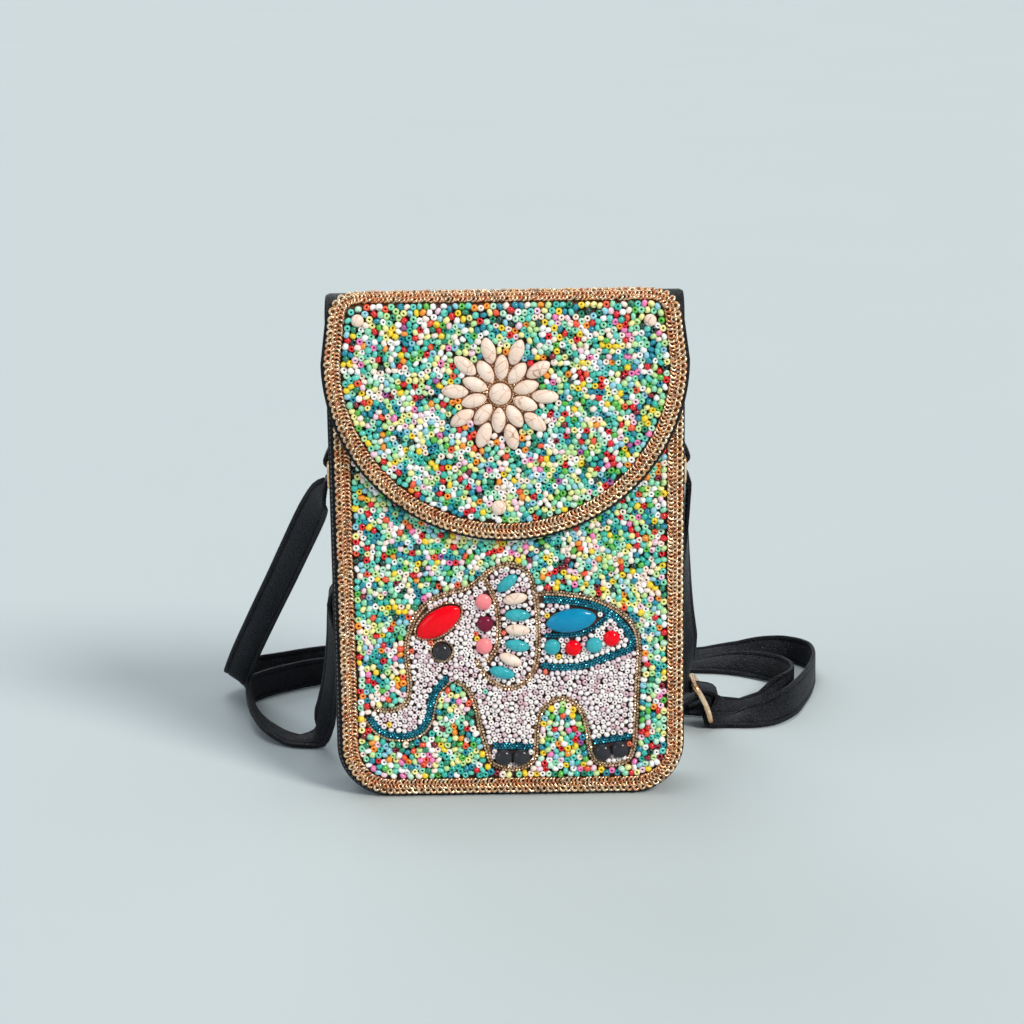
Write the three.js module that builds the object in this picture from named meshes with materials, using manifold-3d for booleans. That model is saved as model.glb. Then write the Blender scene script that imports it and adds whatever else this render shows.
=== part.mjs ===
// Crossbody phone bag: a hollow black leather pouch with a half-round flap, both covered in beadwork,
// on one long leather strap that lies on the floor behind it.
// Millimetres, +Z up, the front faces -Y, the origin is the middle of the base.
import * as THREE from 'three';
import { mergeVertices } from 'three/addons/utils/BufferGeometryUtils.js';
import Module from 'manifold-3d';

const wasm = await Module();
wasm.setup();

// Pouch
const BAG_WIDTH = 130;
const POUCH_HEIGHT = 178;
const POUCH_DEPTH = 25;
const PANEL_THICKNESS = 2;
const PANEL_CORNER = 20;
const BACK_BELLY = 3;
const BACK_BELLY_TOP = 142;
const GUSSET_THICKNESS = 1.6;
const GUSSET_INSET = 3.2;
const GUSSET_CORNER = 17;
const GAP = 0.3;

// Flap: a half round in front, a bend over the top that falls a little to the back, a sewn drop behind
const FLAP_THICKNESS = 1.8;
const FLAP_STANDOFF = 3.2;
const FLAP_RADIUS = 66.5;
const FLAP_ROUND_Z = 166.2;
const FLAP_TOP_HALF_WIDTH = 64.5;
const FLAP_BEND_Z = 181;
const FLAP_FRONT_BEND = 9;
const FLAP_BACK_BEND = 7;
const FLAP_BEND_ANGLE = THREE.MathUtils.degToRad(97);
const FLAP_BACK_DROP = 32;

// Double rows of gold chain
const CHAIN_BAND = 6.4;
const PANEL_CHAIN_SHIFT = 0.8;
const PANEL_RIM = 1.2;
const FLAP_RIM = 1.1;
const PANEL_CHAIN_TOP = 174;
const FLAP_CHAIN_CORNER = 8;
const FLAP_CHAIN_TOP_ANGLE = THREE.MathUtils.degToRad(58);

// Fine chain that draws the elephant
const OUTLINE_RADIUS = 0.9;
const TRIM_RADIUS = 1.0;
const FOOT_BAND_RADIUS = 1.1;
const CHAIN_SIDES = 8;
const CHAIN_STEP_IN_RADII = 4.6;

// Rings, tabs, slide and strap
const WIRE_RADIUS = 0.9;
const WIRE_SIDES = 6;
const STRAP_WIDTH = 12;
const STRAP_THICKNESS = 1.6;
const STRAP_SEWN_END = 12.5;
const RING_BAR_Z = 118.5;
const RING_HEIGHT = 9;
const RING_OFFSET = 65.1;
const RING_CORNER = 1.3;
const TAB_WIDTH = 10;
const TAB_HEIGHT = 16;
const TAB_WALL = 1.4;
const SLIDE_WIRE_RADIUS = 1.1;
const SLIDE_BAR_RADIUS = 1.0;
const SLIDE_HALF_LENGTH = 8.5;
const SLIDE_CORNER = 2.5;
const SLIDE_SLOPE = THREE.MathUtils.degToRad(66);
const SLIDE_CENTRE = new THREE.Vector3(78.3, 65.7, 11.9);
const WEAVE_MIDDLE = 1.0;
const WEAVE_SWING = 4.3;
const SNAP_RADIUS = 7;
const SNAP_HEIGHT = 2.6;
const SNAP_Z = 118;

// Flower on the flap
const FLOWER = { x: -2, z: 155, centre: 8, height: 4 };
const PETAL_RINGS = [
  // name, ring radius, angle of the first petal, length, width
  ['inner_petal', 9.7, 86, 9.4, 5.1],
  ['outer_petal', 16.3, 68, 9.8, 5.3],
];
const PETALS_PER_RING = 10;
const PETAL_HEIGHT = 3.8;

// Colours
const LEATHER = { color: '#141416', roughness: 0.5, metalness: 0 };
const GOLD = { color: '#c99a55', roughness: 0.3, metalness: 1 };
const COPPER = { color: '#a98a5e', roughness: 0.35, metalness: 1 };
const TEAL_METAL = { color: '#1e7c93', roughness: 0.35, metalness: 1 };
const CREAM = { color: '#eed8c2', roughness: 0.35, metalness: 0 };
const TEAL = { color: '#3e9da3', roughness: 0.3, metalness: 0 };
const RED = { color: '#e8101e', roughness: 0.15, metalness: 0 };
const BLUE = { color: '#0f7fb5', roughness: 0.2, metalness: 0 };
const PINK = { color: '#f88a90', roughness: 0.3, metalness: 0 };
const DARK_RED = { color: '#7a1f38', roughness: 0.3, metalness: 0 };
const CHARCOAL = { color: '#3a3a44', roughness: 0.25, metalness: 0 };

const ROUND_STONES = [
  // name, face, x, z, diameter, height, colour
  ['flap_bead_left', 'flap', -52.6, 182, 4.6, 3.4, CREAM],
  ['flap_bead_right', 'flap', 52, 181, 4.6, 3.4, CREAM],
  ['flap_bead_tip', 'flap', -3, 113, 5.5, 3.8, CREAM],
  ['eye_bead', 'panel', -25, 57, 6.6, 4.2, CHARCOAL],
  ['cheek_bead_01', 'panel', -9.3, 76, 6.1, 3.8, PINK],
  ['cheek_bead_02', 'panel', -8.8, 67.5, 6.1, 3.8, DARK_RED],
  ['cheek_bead_03', 'panel', -9.3, 59, 6.1, 3.8, PINK],
  ['saddle_bead_01', 'panel', 15.9, 58.3, 6, 3.8, TEAL],
  ['saddle_bead_02', 'panel', 23.7, 57.8, 6, 3.8, RED],
  ['saddle_bead_03', 'panel', 31.5, 58.8, 6, 3.8, TEAL],
  ['saddle_bead_04', 'panel', 37.9, 61.3, 6, 3.8, RED],
];

const LONG_STONES = [
  // name, x, z, length, width, height, angle, colour
  ['brow_stone', -26, 68.5, 18.9, 9.3, 4.6, 34, RED],
  ['saddle_stone', 23, 68.5, 18.7, 9, 4.6, 8, BLUE],
  ['ear_stone_01', -0.5, 83, 9.2, 4.4, 3.6, 40, TEAL],
  ['ear_stone_02', 2.4, 77, 9.2, 4.4, 3.6, 10, CREAM],
  ['ear_stone_03', 3.2, 70.7, 9.6, 4.6, 3.6, -3, TEAL],
  ['ear_stone_04', 3.2, 65, 9.2, 4.4, 3.6, -5, CREAM],
  ['ear_stone_05', 3, 59, 9.2, 4.4, 3.6, -12, TEAL],
  ['ear_stone_06', 0.4, 53.6, 9, 4.4, 3.6, -25, CREAM],
  ['ear_stone_07', -2.8, 48.6, 9.6, 4.6, 3.6, -15, TEAL],
];

// Lines of the elephant on the panel, as x and z
const HEAD_LINE = [
  [-51, 35], [-45, 34.2], [-39.5, 36.5], [-37.5, 41.5], [-37.6, 49], [-38.3, 57], [-37, 64.5], [-34, 71.5],
  [-29, 76.5], [-22, 79.5], [-14.5, 81.7], [-9.5, 85.5], [-5, 88.7], [-0.5, 90], [4.5, 89], [7.7, 86],
  [9.4, 80.5], [10.4, 73], [10.8, 62], [9.8, 51.5], [7, 46], [3.3, 43.2], [-1, 42.3], [-5.5, 44.4],
  [-9.4, 48], [-12, 53],
];
const EAR_LINE = [[-9.5, 85.5], [-6, 79], [-4.2, 72.5], [-3.8, 65.5], [-4.8, 58], [-8, 53]];
const BODY_LINE = [
  [9.8, 78.5], [15.5, 78.9], [23, 78.1], [30, 76.8], [36, 74.4], [42, 70.6], [46.1, 66], [48, 59.5],
  [47.4, 42], [46.9, 28], [46.2, 19], [43.8, 13.5], [38, 11.8], [32.5, 12.6], [29.8, 17], [28.8, 25],
  [26.8, 32.5], [23.5, 36.7], [19, 38], [14.5, 36.3], [11.2, 32], [9.9, 26], [9.6, 20], [8.6, 14.2],
  [4, 10.9], [-2, 10.8], [-6.9, 13], [-9, 19], [-11, 26], [-12.3, 33], [-14.5, 40], [-17, 43.2], [-20, 45],
];
const TRUNK_LINE = [
  [-52.5, 31.6], [-50.5, 28.4], [-47.5, 25.7], [-42.5, 24.2], [-37, 24.7], [-33, 27.2], [-30.7, 31.5],
  [-29.5, 37], [-27.7, 41.7], [-23.8, 46.2],
];
const SADDLE_LINE = [
  [13.2, 76.2], [17, 76.1], [24, 75.2], [30.5, 74], [35.6, 71.7], [40.4, 68.1], [43.9, 63.6], [45.8, 59],
  [44.6, 56.6], [41, 55.5], [34.5, 53], [27.5, 50.7], [21, 50], [15, 50.4], [12.6, 50.9],
];
const SADDLE_INNER_LINE = [
  [13.2, 62.5], [17.5, 62.4], [22.5, 62.5], [27.5, 63.3], [32.2, 65.8], [37.6, 70.3],
];
const FEET = [
  // name, then the band's ends and the two toes as x and z
  ['foot_front', [[-6.2, 19.6], [7.3, 19.3]], [[-2.6, 15.5], [3.9, 15.5]]],
  ['foot_back', [[31.4, 20.9], [44.2, 22.7]], [[34.4, 17], [40.8, 18]]],
];
const TOE = { diameter: 6.6, height: 4.2 };

// The strap's middle line from the right ring to the slide's middle bar, with the direction of one edge
const STRAP_DOWN_RIGHT = [
  // x, y, z, then the edge's direction
  [67.2, 2.5, 111, 0.03, 1, 0.1],
  [67, 9, 99, 0.04, 0.97, 0.22],
  [67.5, 22, 81, 0.25, 0.92, 0.3],
  [68.6, 38, 58, 0.5, 0.8, 0.3],
  [70.6, 49, 40, 0.62, 0.73, 0.3],
  [71.4, 57.5, 27.5, 0.4, 0.9, 0.15],
  [71.1, 63.2, 21, 0.08, 1, 0],
];
const STRAP_ROUND_BACK = [
  [82.2, 66, 1.6, 0, 1, 0],
  [87, 66.5, 1.3, 0, 1, 0],
  [92, 66.3, 1.6, 0, 0.98, 0.15],
  [98, 65.3, 3, 0.05, 0.87, 0.48],
  [104.5, 67, 3.7, -0.2, 0.82, 0.55],
  [113, 74, 5, -0.35, 0.35, 0.87],
  [121, 90.5, 5.8, -0.2, 0.1, 0.97],
  [127.5, 111, 6.2, -0.08, 0, 1],
  [130.3, 127, 6.2, 0, 0, 1],
  [129, 140.5, 6.2, 0.05, 0.05, 1],
  [122.5, 148.5, 6.2, 0, 0, 1],
  [112, 150, 5.6, 0, 0.4, 0.92],
  [100, 150.5, 4, 0, 0.78, 0.62],
  [85, 153.5, 2.6, 0, 0.96, 0.28],
  [65, 154.5, 1.8, 0, 1, 0.1],
  [0, 153, 1.8, 0, 1, 0.1],
  [-45, 149, 4, 0, 0.75, 0.65],
  [-80, 144.5, 6.2, 0, 0, 1],
  [-98, 136, 6.2, 0, 0, 1],
  [-108.5, 129, 6.6, -0.1, 0.1, 1],
  [-114.5, 121.5, 6.8, -0.45, 0.1, 0.9],
  [-116, 113, 8, -0.8, 0, 0.6],
  [-112.7, 104, 17.6, -0.95, 0, 0.3],
  [-101.6, 78, 42.8, -0.96, 0, 0.27],
  [-90.6, 55, 66.5, -0.95, 0, 0.32],
  [-80.8, 32, 88.2, -0.93, 0.05, 0.36],
  [-74.2, 18, 102.6, -0.75, 0.2, 0.62],
  [-70, 7.5, 111.4, -0.5, 0.72, 0.45],
  [-67.5, 1.4, 115.5, -0.05, 1, 0.05],
];
const STRAP_LEFT_LOOP = [
  [-63.3, 0.2, 113, 0, 1, 0],
  [-63.2, 0.8, 104, 0, 1, 0],
  [-63.3, 2.2, 90, 0, 1, 0],
  [-64.3, 2.6, 80, 0, 1, 0],
  [-66.8, 4.8, 74, 0, 1, 0.03],
  [-67.3, 9.5, 68, -0.08, 1, 0.05],
  [-67.6, 19, 57, -0.3, 0.95, 0.1],
  [-68.2, 25.5, 47, -0.4, 0.9, 0.1],
  [-70.3, 33, 30, -0.5, 0.85, 0.12],
  [-73.4, 40, 14.5, -0.65, 0.75, 0.1],
  [-77.3, 47, 3.6, -0.4, 0.9, 0.1],
  [-85, 49.3, 1.3, 0.05, 1, 0.05],
  [-90.3, 52.6, 1.5, 0.45, 0.88, -0.1],
  [-95.5, 58, 2.6, 0.76, 0.58, -0.3],
  [-100.8, 67.5, 4, 0.76, 0.3, -0.57],
  [-105.4, 80, 5.5, 0.48, 0.1, -0.87],
  [-108, 93.5, 6.3, 0.2, 0.02, -0.98],
  [-108.3, 102.5, 6.4, 0.05, 0, -1],
  [-103.5, 109.5, 6.4, 0, 0, -1],
  [-96, 116.5, 6.4, 0, 0, -1],
  [-80.5, 126, 6.4, 0, 0, -1],
  [-50, 133, 5.6, 0, -0.4, -0.9],
  [0, 139, 2.6, 0, -0.93, -0.35],
  [45, 141.5, 1.6, 0, -1, -0.1],
  [80, 141, 1.8, 0, -1, -0.15],
  [95, 137, 3.1, -0.2, -0.82, -0.54],
  [107, 128.5, 4.9, -0.3, -0.5, -0.81],
  [115.7, 118, 5.9, -0.15, -0.2, -0.96],
  [119, 107.5, 6.1, 0, 0, -1],
  [115.5, 96.5, 5.2, -0.1, -0.42, -0.9],
  [106.5, 87, 2.9, 0.3, -0.88, -0.38],
  [96.5, 81, 2.3, 0.15, -0.95, -0.25],
  [87, 79.3, 2.7, 0, -0.92, -0.38],
  [77.5, 79.5, 4.6, 0, -0.62, -0.78],
  [68.5, 79, 6.2, 0, -0.15, -0.98],
  [62.3, 74, 6.6, 0.1, 0, -1],
  [63.6, 67.6, 8, 0.1, -0.65, -0.75],
];
const STRAP_STEP = 9;

const FRONT_Y = -POUCH_DEPTH / 2;
const FLAP_FRONT_Y = FRONT_Y - FLAP_STANDOFF - FLAP_THICKNESS;
const FLAP_BACK_Y = POUCH_DEPTH / 2 + GAP + FLAP_THICKNESS;

const bag = new THREE.Group();

// The beaded faces, with x to the right, y up and z out of the leather
const faces = {
  panel: new THREE.Group(),
  flap: new THREE.Group(),
};
faces.panel.position.y = FRONT_Y;
faces.flap.position.y = FLAP_FRONT_Y;
for (const face of Object.values(faces)) {
  face.rotation.x = Math.PI / 2;
  bag.add(face);
}

function addPiece(parent, name, geometry, finish) {
  const mesh = new THREE.Mesh(geometry, new THREE.MeshStandardMaterial(finish));
  mesh.name = name;
  parent.add(mesh);
  return mesh;
}

// A closed body from points and triangles, turned so that its faces point out
function solid(points, triangles) {
  let volume = 0;
  for (const [a, b, c] of triangles) {
    volume += points[a].dot(new THREE.Vector3().crossVectors(points[b], points[c]));
  }
  const turned = volume < 0 ? triangles.map(([a, b, c]) => [a, c, b]) : triangles;
  const geometry = new THREE.BufferGeometry().setFromPoints(points);
  geometry.setIndex(turned.flat());
  return geometry;
}

// Carries a section along stations that each hold an origin and two axes
function sweep(section, stations, closed) {
  const count = section.length;
  const points = [];
  for (const { origin, across, out } of stations) {
    for (const [a, b] of section) {
      points.push(origin.clone().addScaledVector(across, a).addScaledVector(out, b));
    }
  }
  const triangles = [];
  const spans = closed ? stations.length : stations.length - 1;
  for (let i = 0; i < spans; i++) {
    const here = i * count;
    const next = ((i + 1) % stations.length) * count;
    for (let j = 0; j < count; j++) {
      const k = (j + 1) % count;
      triangles.push([here + j, next + j, next + k], [here + j, next + k, here + k]);
    }
  }
  if (!closed) {
    const outline = section.map(([a, b]) => new THREE.Vector2(a, b));
    const cap = THREE.ShapeUtils.triangulateShape(outline, []);
    const last = (stations.length - 1) * count;
    const turned = THREE.ShapeUtils.isClockWise(outline);
    for (const [a, b, c] of cap) {
      const first = turned ? [a, c, b] : [a, b, c];
      triangles.push(first, first.toReversed().map((index) => last + index));
    }
  }
  return solid(points, triangles);
}

function toManifold(geometry) {
  const bare = geometry.clone();
  bare.deleteAttribute('normal');
  bare.deleteAttribute('uv');
  const merged = mergeVertices(bare, 1e-4);
  return new wasm.Manifold(new wasm.Mesh({
    numProp: 3,
    vertProperties: new Float32Array(merged.attributes.position.array),
    triVerts: new Uint32Array(merged.index.array),
  }));
}

function fuse(geometries) {
  const joined = geometries.map(toManifold).reduce((whole, next) => whole.add(next));
  const mesh = joined.getMesh();
  const geometry = new THREE.BufferGeometry();
  geometry.setAttribute('position', new THREE.BufferAttribute(new Float32Array(mesh.vertProperties), 3));
  geometry.setIndex(new THREE.BufferAttribute(new Uint32Array(mesh.triVerts), 1));
  return geometry;
}

function polygon(radius, sides) {
  return Array.from({ length: sides }, (_, i) => {
    const angle = (2 * Math.PI * (i + 0.5)) / sides;
    return [radius * Math.cos(angle), radius * Math.sin(angle)];
  });
}

// A round chain laid on a face along a smooth line of x and z
function chainTube(line, radius) {
  const height = GAP + radius;
  const path = new THREE.CatmullRomCurve3(line.map(([x, z]) => new THREE.Vector3(x, z, height)));
  const section = new THREE.Shape(polygon(radius, CHAIN_SIDES).map(([a, b]) => new THREE.Vector2(a, b)));
  const steps = Math.ceil(path.getLength() / (CHAIN_STEP_IN_RADII * radius));
  return new THREE.ExtrudeGeometry(section, { steps, bevelEnabled: false, extrudePath: path });
}

// The front panel's cut: square above, round below
function panelShape() {
  const half = BAG_WIDTH / 2;
  const shape = new THREE.Shape();
  shape.moveTo(-half, POUCH_HEIGHT);
  shape.lineTo(-half, PANEL_CORNER);
  shape.absarc(-half + PANEL_CORNER, PANEL_CORNER, PANEL_CORNER, Math.PI, 1.5 * Math.PI);
  shape.absarc(half - PANEL_CORNER, PANEL_CORNER, PANEL_CORNER, 1.5 * Math.PI, 2 * Math.PI);
  shape.lineTo(half, POUCH_HEIGHT);
  return shape;
}

function gussetShape() {
  const half = BAG_WIDTH / 2 - GUSSET_INSET;
  const inner = half - GUSSET_THICKNESS;
  const round = GUSSET_CORNER - GUSSET_THICKNESS;
  const centre = half - GUSSET_CORNER;
  const shape = new THREE.Shape();
  shape.moveTo(-half, POUCH_HEIGHT);
  shape.absarc(-centre, GUSSET_CORNER, GUSSET_CORNER, Math.PI, 1.5 * Math.PI);
  shape.absarc(centre, GUSSET_CORNER, GUSSET_CORNER, 1.5 * Math.PI, 2 * Math.PI);
  shape.lineTo(half, POUCH_HEIGHT);
  shape.lineTo(inner, POUCH_HEIGHT);
  shape.absarc(centre, GUSSET_CORNER, round, 2 * Math.PI, 1.5 * Math.PI, true);
  shape.absarc(-centre, GUSSET_CORNER, round, 1.5 * Math.PI, Math.PI, true);
  shape.lineTo(-inner, POUCH_HEIGHT);
  return shape;
}

// Extrudes a front outline backwards from y
function upright(shape, y, depth) {
  const geometry = new THREE.ExtrudeGeometry(shape, { depth, bevelEnabled: false, curveSegments: 8 });
  geometry.rotateX(Math.PI / 2);
  geometry.translate(0, y + depth, 0);
  return geometry;
}

// The flap's outer skin at the length s up its front, over the top and down the back
const FLAP_FRONT_LENGTH = FLAP_BEND_Z - FLAP_ROUND_Z + FLAP_RADIUS;
const FLAP_BEND_LENGTH = FLAP_FRONT_BEND * FLAP_BEND_ANGLE;
const FLAP_TOP_LENGTH = (FLAP_BACK_Y - FLAP_BACK_BEND * (1 + Math.cos(FLAP_BEND_ANGLE))
  - FLAP_FRONT_Y - FLAP_FRONT_BEND * (1 - Math.cos(FLAP_BEND_ANGLE))) / Math.sin(FLAP_BEND_ANGLE);
const FLAP_TURN_LENGTH = FLAP_BACK_BEND * (Math.PI - FLAP_BEND_ANGLE);

function flapSkin(s) {
  const bendY = FLAP_FRONT_Y + FLAP_FRONT_BEND;
  if (s <= FLAP_FRONT_LENGTH) {
    return { y: FLAP_FRONT_Y, z: FLAP_ROUND_Z - FLAP_RADIUS + s, angle: 0 };
  }
  const onBend = s - FLAP_FRONT_LENGTH;
  if (onBend <= FLAP_BEND_LENGTH) {
    const angle = onBend / FLAP_FRONT_BEND;
    return {
      y: bendY - FLAP_FRONT_BEND * Math.cos(angle),
      z: FLAP_BEND_Z + FLAP_FRONT_BEND * Math.sin(angle),
      angle,
    };
  }
  const onTop = onBend - FLAP_BEND_LENGTH;
  const run = Math.min(onTop, FLAP_TOP_LENGTH);
  const topY = bendY - FLAP_FRONT_BEND * Math.cos(FLAP_BEND_ANGLE) + run * Math.sin(FLAP_BEND_ANGLE);
  const topZ = FLAP_BEND_Z + FLAP_FRONT_BEND * Math.sin(FLAP_BEND_ANGLE) + run * Math.cos(FLAP_BEND_ANGLE);
  if (onTop <= FLAP_TOP_LENGTH) {
    return { y: topY, z: topZ, angle: FLAP_BEND_ANGLE };
  }
  const turnY = FLAP_BACK_Y - FLAP_BACK_BEND;
  const turnZ = topZ - FLAP_BACK_BEND * Math.sin(FLAP_BEND_ANGLE);
  const onTurn = onTop - FLAP_TOP_LENGTH;
  const angle = Math.min(FLAP_BEND_ANGLE + onTurn / FLAP_BACK_BEND, Math.PI);
  const drop = Math.max(onTurn - FLAP_TURN_LENGTH, 0);
  return {
    y: turnY - FLAP_BACK_BEND * Math.cos(angle),
    z: turnZ + FLAP_BACK_BEND * Math.sin(angle) - drop,
    angle,
  };
}

function flapPoint(x, s, out) {
  const { y, z, angle } = flapSkin(s);
  return new THREE.Vector3(x, y - out * Math.cos(angle), z + out * Math.sin(angle));
}

function flapHalfWidth(s) {
  if (s < FLAP_RADIUS) {
    return Math.sqrt(FLAP_RADIUS ** 2 - (FLAP_RADIUS - s) ** 2);
  }
  const taper = Math.min((s - FLAP_RADIUS) / (FLAP_FRONT_LENGTH - FLAP_RADIUS), 1);
  return THREE.MathUtils.lerp(FLAP_RADIUS, FLAP_TOP_HALF_WIDTH, taper);
}

// A leather sheet laid in rows from side to side, with an outer and an inner skin
function sheet(rows, columns, place) {
  const ring = [];
  for (let j = 0; j <= columns; j++) {
    ring.push([(2 * j) / columns - 1, false]);
  }
  for (let j = columns; j >= 0; j--) {
    ring.push([(2 * j) / columns - 1, true]);
  }
  const points = rows.flatMap((row) => ring.map(([side, inner]) => place(row, side, inner)));
  const count = ring.length;
  const triangles = [];
  for (let i = 0; i < rows.length - 1; i++) {
    for (let j = 0; j < count; j++) {
      const k = (j + 1) % count;
      const [a, b, c, d] = [i * count + j, (i + 1) * count + j, (i + 1) * count + k, i * count + k];
      triangles.push([a, b, c], [a, c, d]);
    }
  }
  const last = (rows.length - 1) * count;
  for (let j = 0; j < columns; j++) {
    const [a, b, c, d] = [j, j + 1, count - 2 - j, count - 1 - j];
    triangles.push([a, b, c], [a, c, d]);
    triangles.push([last + a, last + c, last + b], [last + a, last + d, last + c]);
  }
  return solid(points, triangles);
}

function flapGeometry() {
  const [firstRow, rowStep] = [5, 8.5];
  const lengths = [];
  for (let degrees = firstRow; degrees < 90; degrees += rowStep) {
    lengths.push(FLAP_RADIUS * (1 - Math.cos(THREE.MathUtils.degToRad(degrees))));
  }
  lengths.push(FLAP_RADIUS, FLAP_FRONT_LENGTH);
  const bendRows = 7;
  for (let i = 1; i <= bendRows; i++) {
    lengths.push(FLAP_FRONT_LENGTH + (FLAP_BEND_LENGTH * i) / bendRows);
  }
  const turnRows = 5;
  const turnStart = FLAP_FRONT_LENGTH + FLAP_BEND_LENGTH + FLAP_TOP_LENGTH;
  for (let i = 0; i <= turnRows; i++) {
    lengths.push(turnStart + (FLAP_TURN_LENGTH * i) / turnRows);
  }
  lengths.push(turnStart + FLAP_TURN_LENGTH + FLAP_BACK_DROP);
  return sheet(lengths, 4, (s, side, inner) => (
    flapPoint(side * flapHalfWidth(s), s, inner ? -FLAP_THICKNESS : 0)
  ));
}

// The back is unlined leather: it bellies out below the flap
function backPanel() {
  const half = BAG_WIDTH / 2;
  const heights = [0, 1.2, 4.5, 9.5, PANEL_CORNER, 38, 56, 74, 92, 110, 128, BACK_BELLY_TOP, POUCH_HEIGHT];
  return sheet(heights, 6, (z, side, inner) => {
    const low = Math.max(PANEL_CORNER - z, 0);
    const width = half - PANEL_CORNER + Math.sqrt(PANEL_CORNER ** 2 - low ** 2);
    const rise = Math.sin((Math.PI * Math.min(z, BACK_BELLY_TOP)) / BACK_BELLY_TOP) ** 2;
    const belly = BACK_BELLY * rise * (1 - side ** 2);
    return new THREE.Vector3(side * width, belly - FRONT_Y - (inner ? PANEL_THICKNESS : 0), z);
  });
}

// Two rows of chain side by side: a larger outer row and a smaller inner row
const CHAIN_SECTION = [
  // across the band, towards the edge, then up from the leather
  [-CHAIN_BAND / 2, GAP],
  [-CHAIN_BAND / 2, GAP + 1.1],
  [-CHAIN_BAND * 0.3, GAP + 1.8],
  [-CHAIN_BAND * 0.07, GAP + 1.0],
  [CHAIN_BAND * 0.21, GAP + 2.2],
  [CHAIN_BAND / 2, GAP + 1.2],
  [CHAIN_BAND / 2, GAP],
];

// The outward direction beside each point of a flat path
function sideways(path, closed) {
  const count = path.length;
  return path.map((point, i) => {
    const before = path[closed ? (i + count - 1) % count : Math.max(i - 1, 0)];
    const after = path[closed ? (i + 1) % count : Math.min(i + 1, count - 1)];
    const into = point.clone().sub(before).normalize();
    const onward = after.clone().sub(point).normalize();
    const tangent = into.add(onward).normalize();
    return new THREE.Vector2(tangent.y, -tangent.x);
  });
}

function panelChain() {
  const half = BAG_WIDTH / 2 - PANEL_RIM - CHAIN_BAND / 2;
  const low = PANEL_RIM + CHAIN_BAND / 2;
  const round = PANEL_CORNER - low;
  const path = new THREE.Path();
  path.moveTo(-half, PANEL_CHAIN_TOP);
  path.absarc(-half + round, low + round, round, Math.PI, 1.5 * Math.PI);
  path.absarc(half - round, low + round, round, 1.5 * Math.PI, 2 * Math.PI);
  path.lineTo(half, PANEL_CHAIN_TOP);
  const points = path.getPoints(5);
  const sides = sideways(points, false);
  const stations = points.map((point, i) => ({
    origin: new THREE.Vector3(point.x + PANEL_CHAIN_SHIFT, point.y, 0),
    across: new THREE.Vector3(sides[i].x, sides[i].y, 0),
    out: new THREE.Vector3(0, 0, 1),
  }));
  return sweep(CHAIN_SECTION, stations, false);
}

function flapChain() {
  const inset = FLAP_RIM + CHAIN_BAND / 2;
  const half = FLAP_RADIUS - inset;
  const topHalf = FLAP_TOP_HALF_WIDTH - inset;
  const top = FLAP_FRONT_LENGTH + FLAP_FRONT_BEND * FLAP_CHAIN_TOP_ANGLE;
  const corner = FLAP_CHAIN_CORNER;
  const path = new THREE.Path();
  path.absarc(0, FLAP_RADIUS, half, Math.PI, 2 * Math.PI);
  path.absarc(topHalf - corner, top - corner, corner, 0, Math.PI / 2);
  path.absarc(corner - topHalf, top - corner, corner, Math.PI / 2, Math.PI);
  const points = path.getPoints(10);
  const sides = sideways(points, true);
  const stations = points.map((point, i) => {
    const origin = flapPoint(point.x, point.y, 0);
    const upward = new THREE.Vector3(0, Math.sin(flapSkin(point.y).angle), Math.cos(flapSkin(point.y).angle));
    const across = new THREE.Vector3(sides[i].x, 0, 0).addScaledVector(upward, sides[i].y);
    const out = flapPoint(point.x, point.y, 1).sub(origin);
    return { origin, across, out };
  });
  return sweep(CHAIN_SECTION, stations, true);
}

// A bead turned about its long axis, laid down and flattened; its profile is in shares of width and length
function longStone(length, width, height, angle) {
  const profile = [[0, -0.5], [0.23, -0.42], [0.42, -0.21], [0.5, 0], [0.42, 0.21], [0.23, 0.42], [0, 0.5]];
  const geometry = new THREE.LatheGeometry(
    profile.map(([r, y]) => new THREE.Vector2(r * width, y * length)), 10);
  geometry.rotateZ(THREE.MathUtils.degToRad(angle - 90));
  geometry.scale(1, 1, height / width);
  geometry.translate(0, 0, GAP + height / 2);
  return geometry;
}

// A round bead with a flat back; its profile is in shares of diameter and height
function roundStone(diameter, height) {
  const profile = [[0, 0], [0.42, 0], [0.5, 0.3], [0.44, 0.62], [0.26, 0.9], [0, 1]];
  const geometry = new THREE.LatheGeometry(
    profile.map(([r, y]) => new THREE.Vector2(r * diameter, y * height)), 12);
  geometry.rotateX(Math.PI / 2);
  geometry.translate(0, 0, GAP);
  return geometry;
}

function foot(band, toes) {
  const parts = toes.map(([x, z]) => roundStone(TOE.diameter, TOE.height).translate(x, z, 0));
  const path = new THREE.LineCurve3(...band.map(([x, z]) => new THREE.Vector3(x, z, GAP + FOOT_BAND_RADIUS)));
  const outline = polygon(FOOT_BAND_RADIUS, CHAIN_SIDES).map(([a, b]) => new THREE.Vector2(a, b));
  const section = new THREE.Shape(outline);
  parts.push(new THREE.ExtrudeGeometry(section, { steps: 2, bevelEnabled: false, extrudePath: path }));
  return fuse(parts);
}

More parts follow.
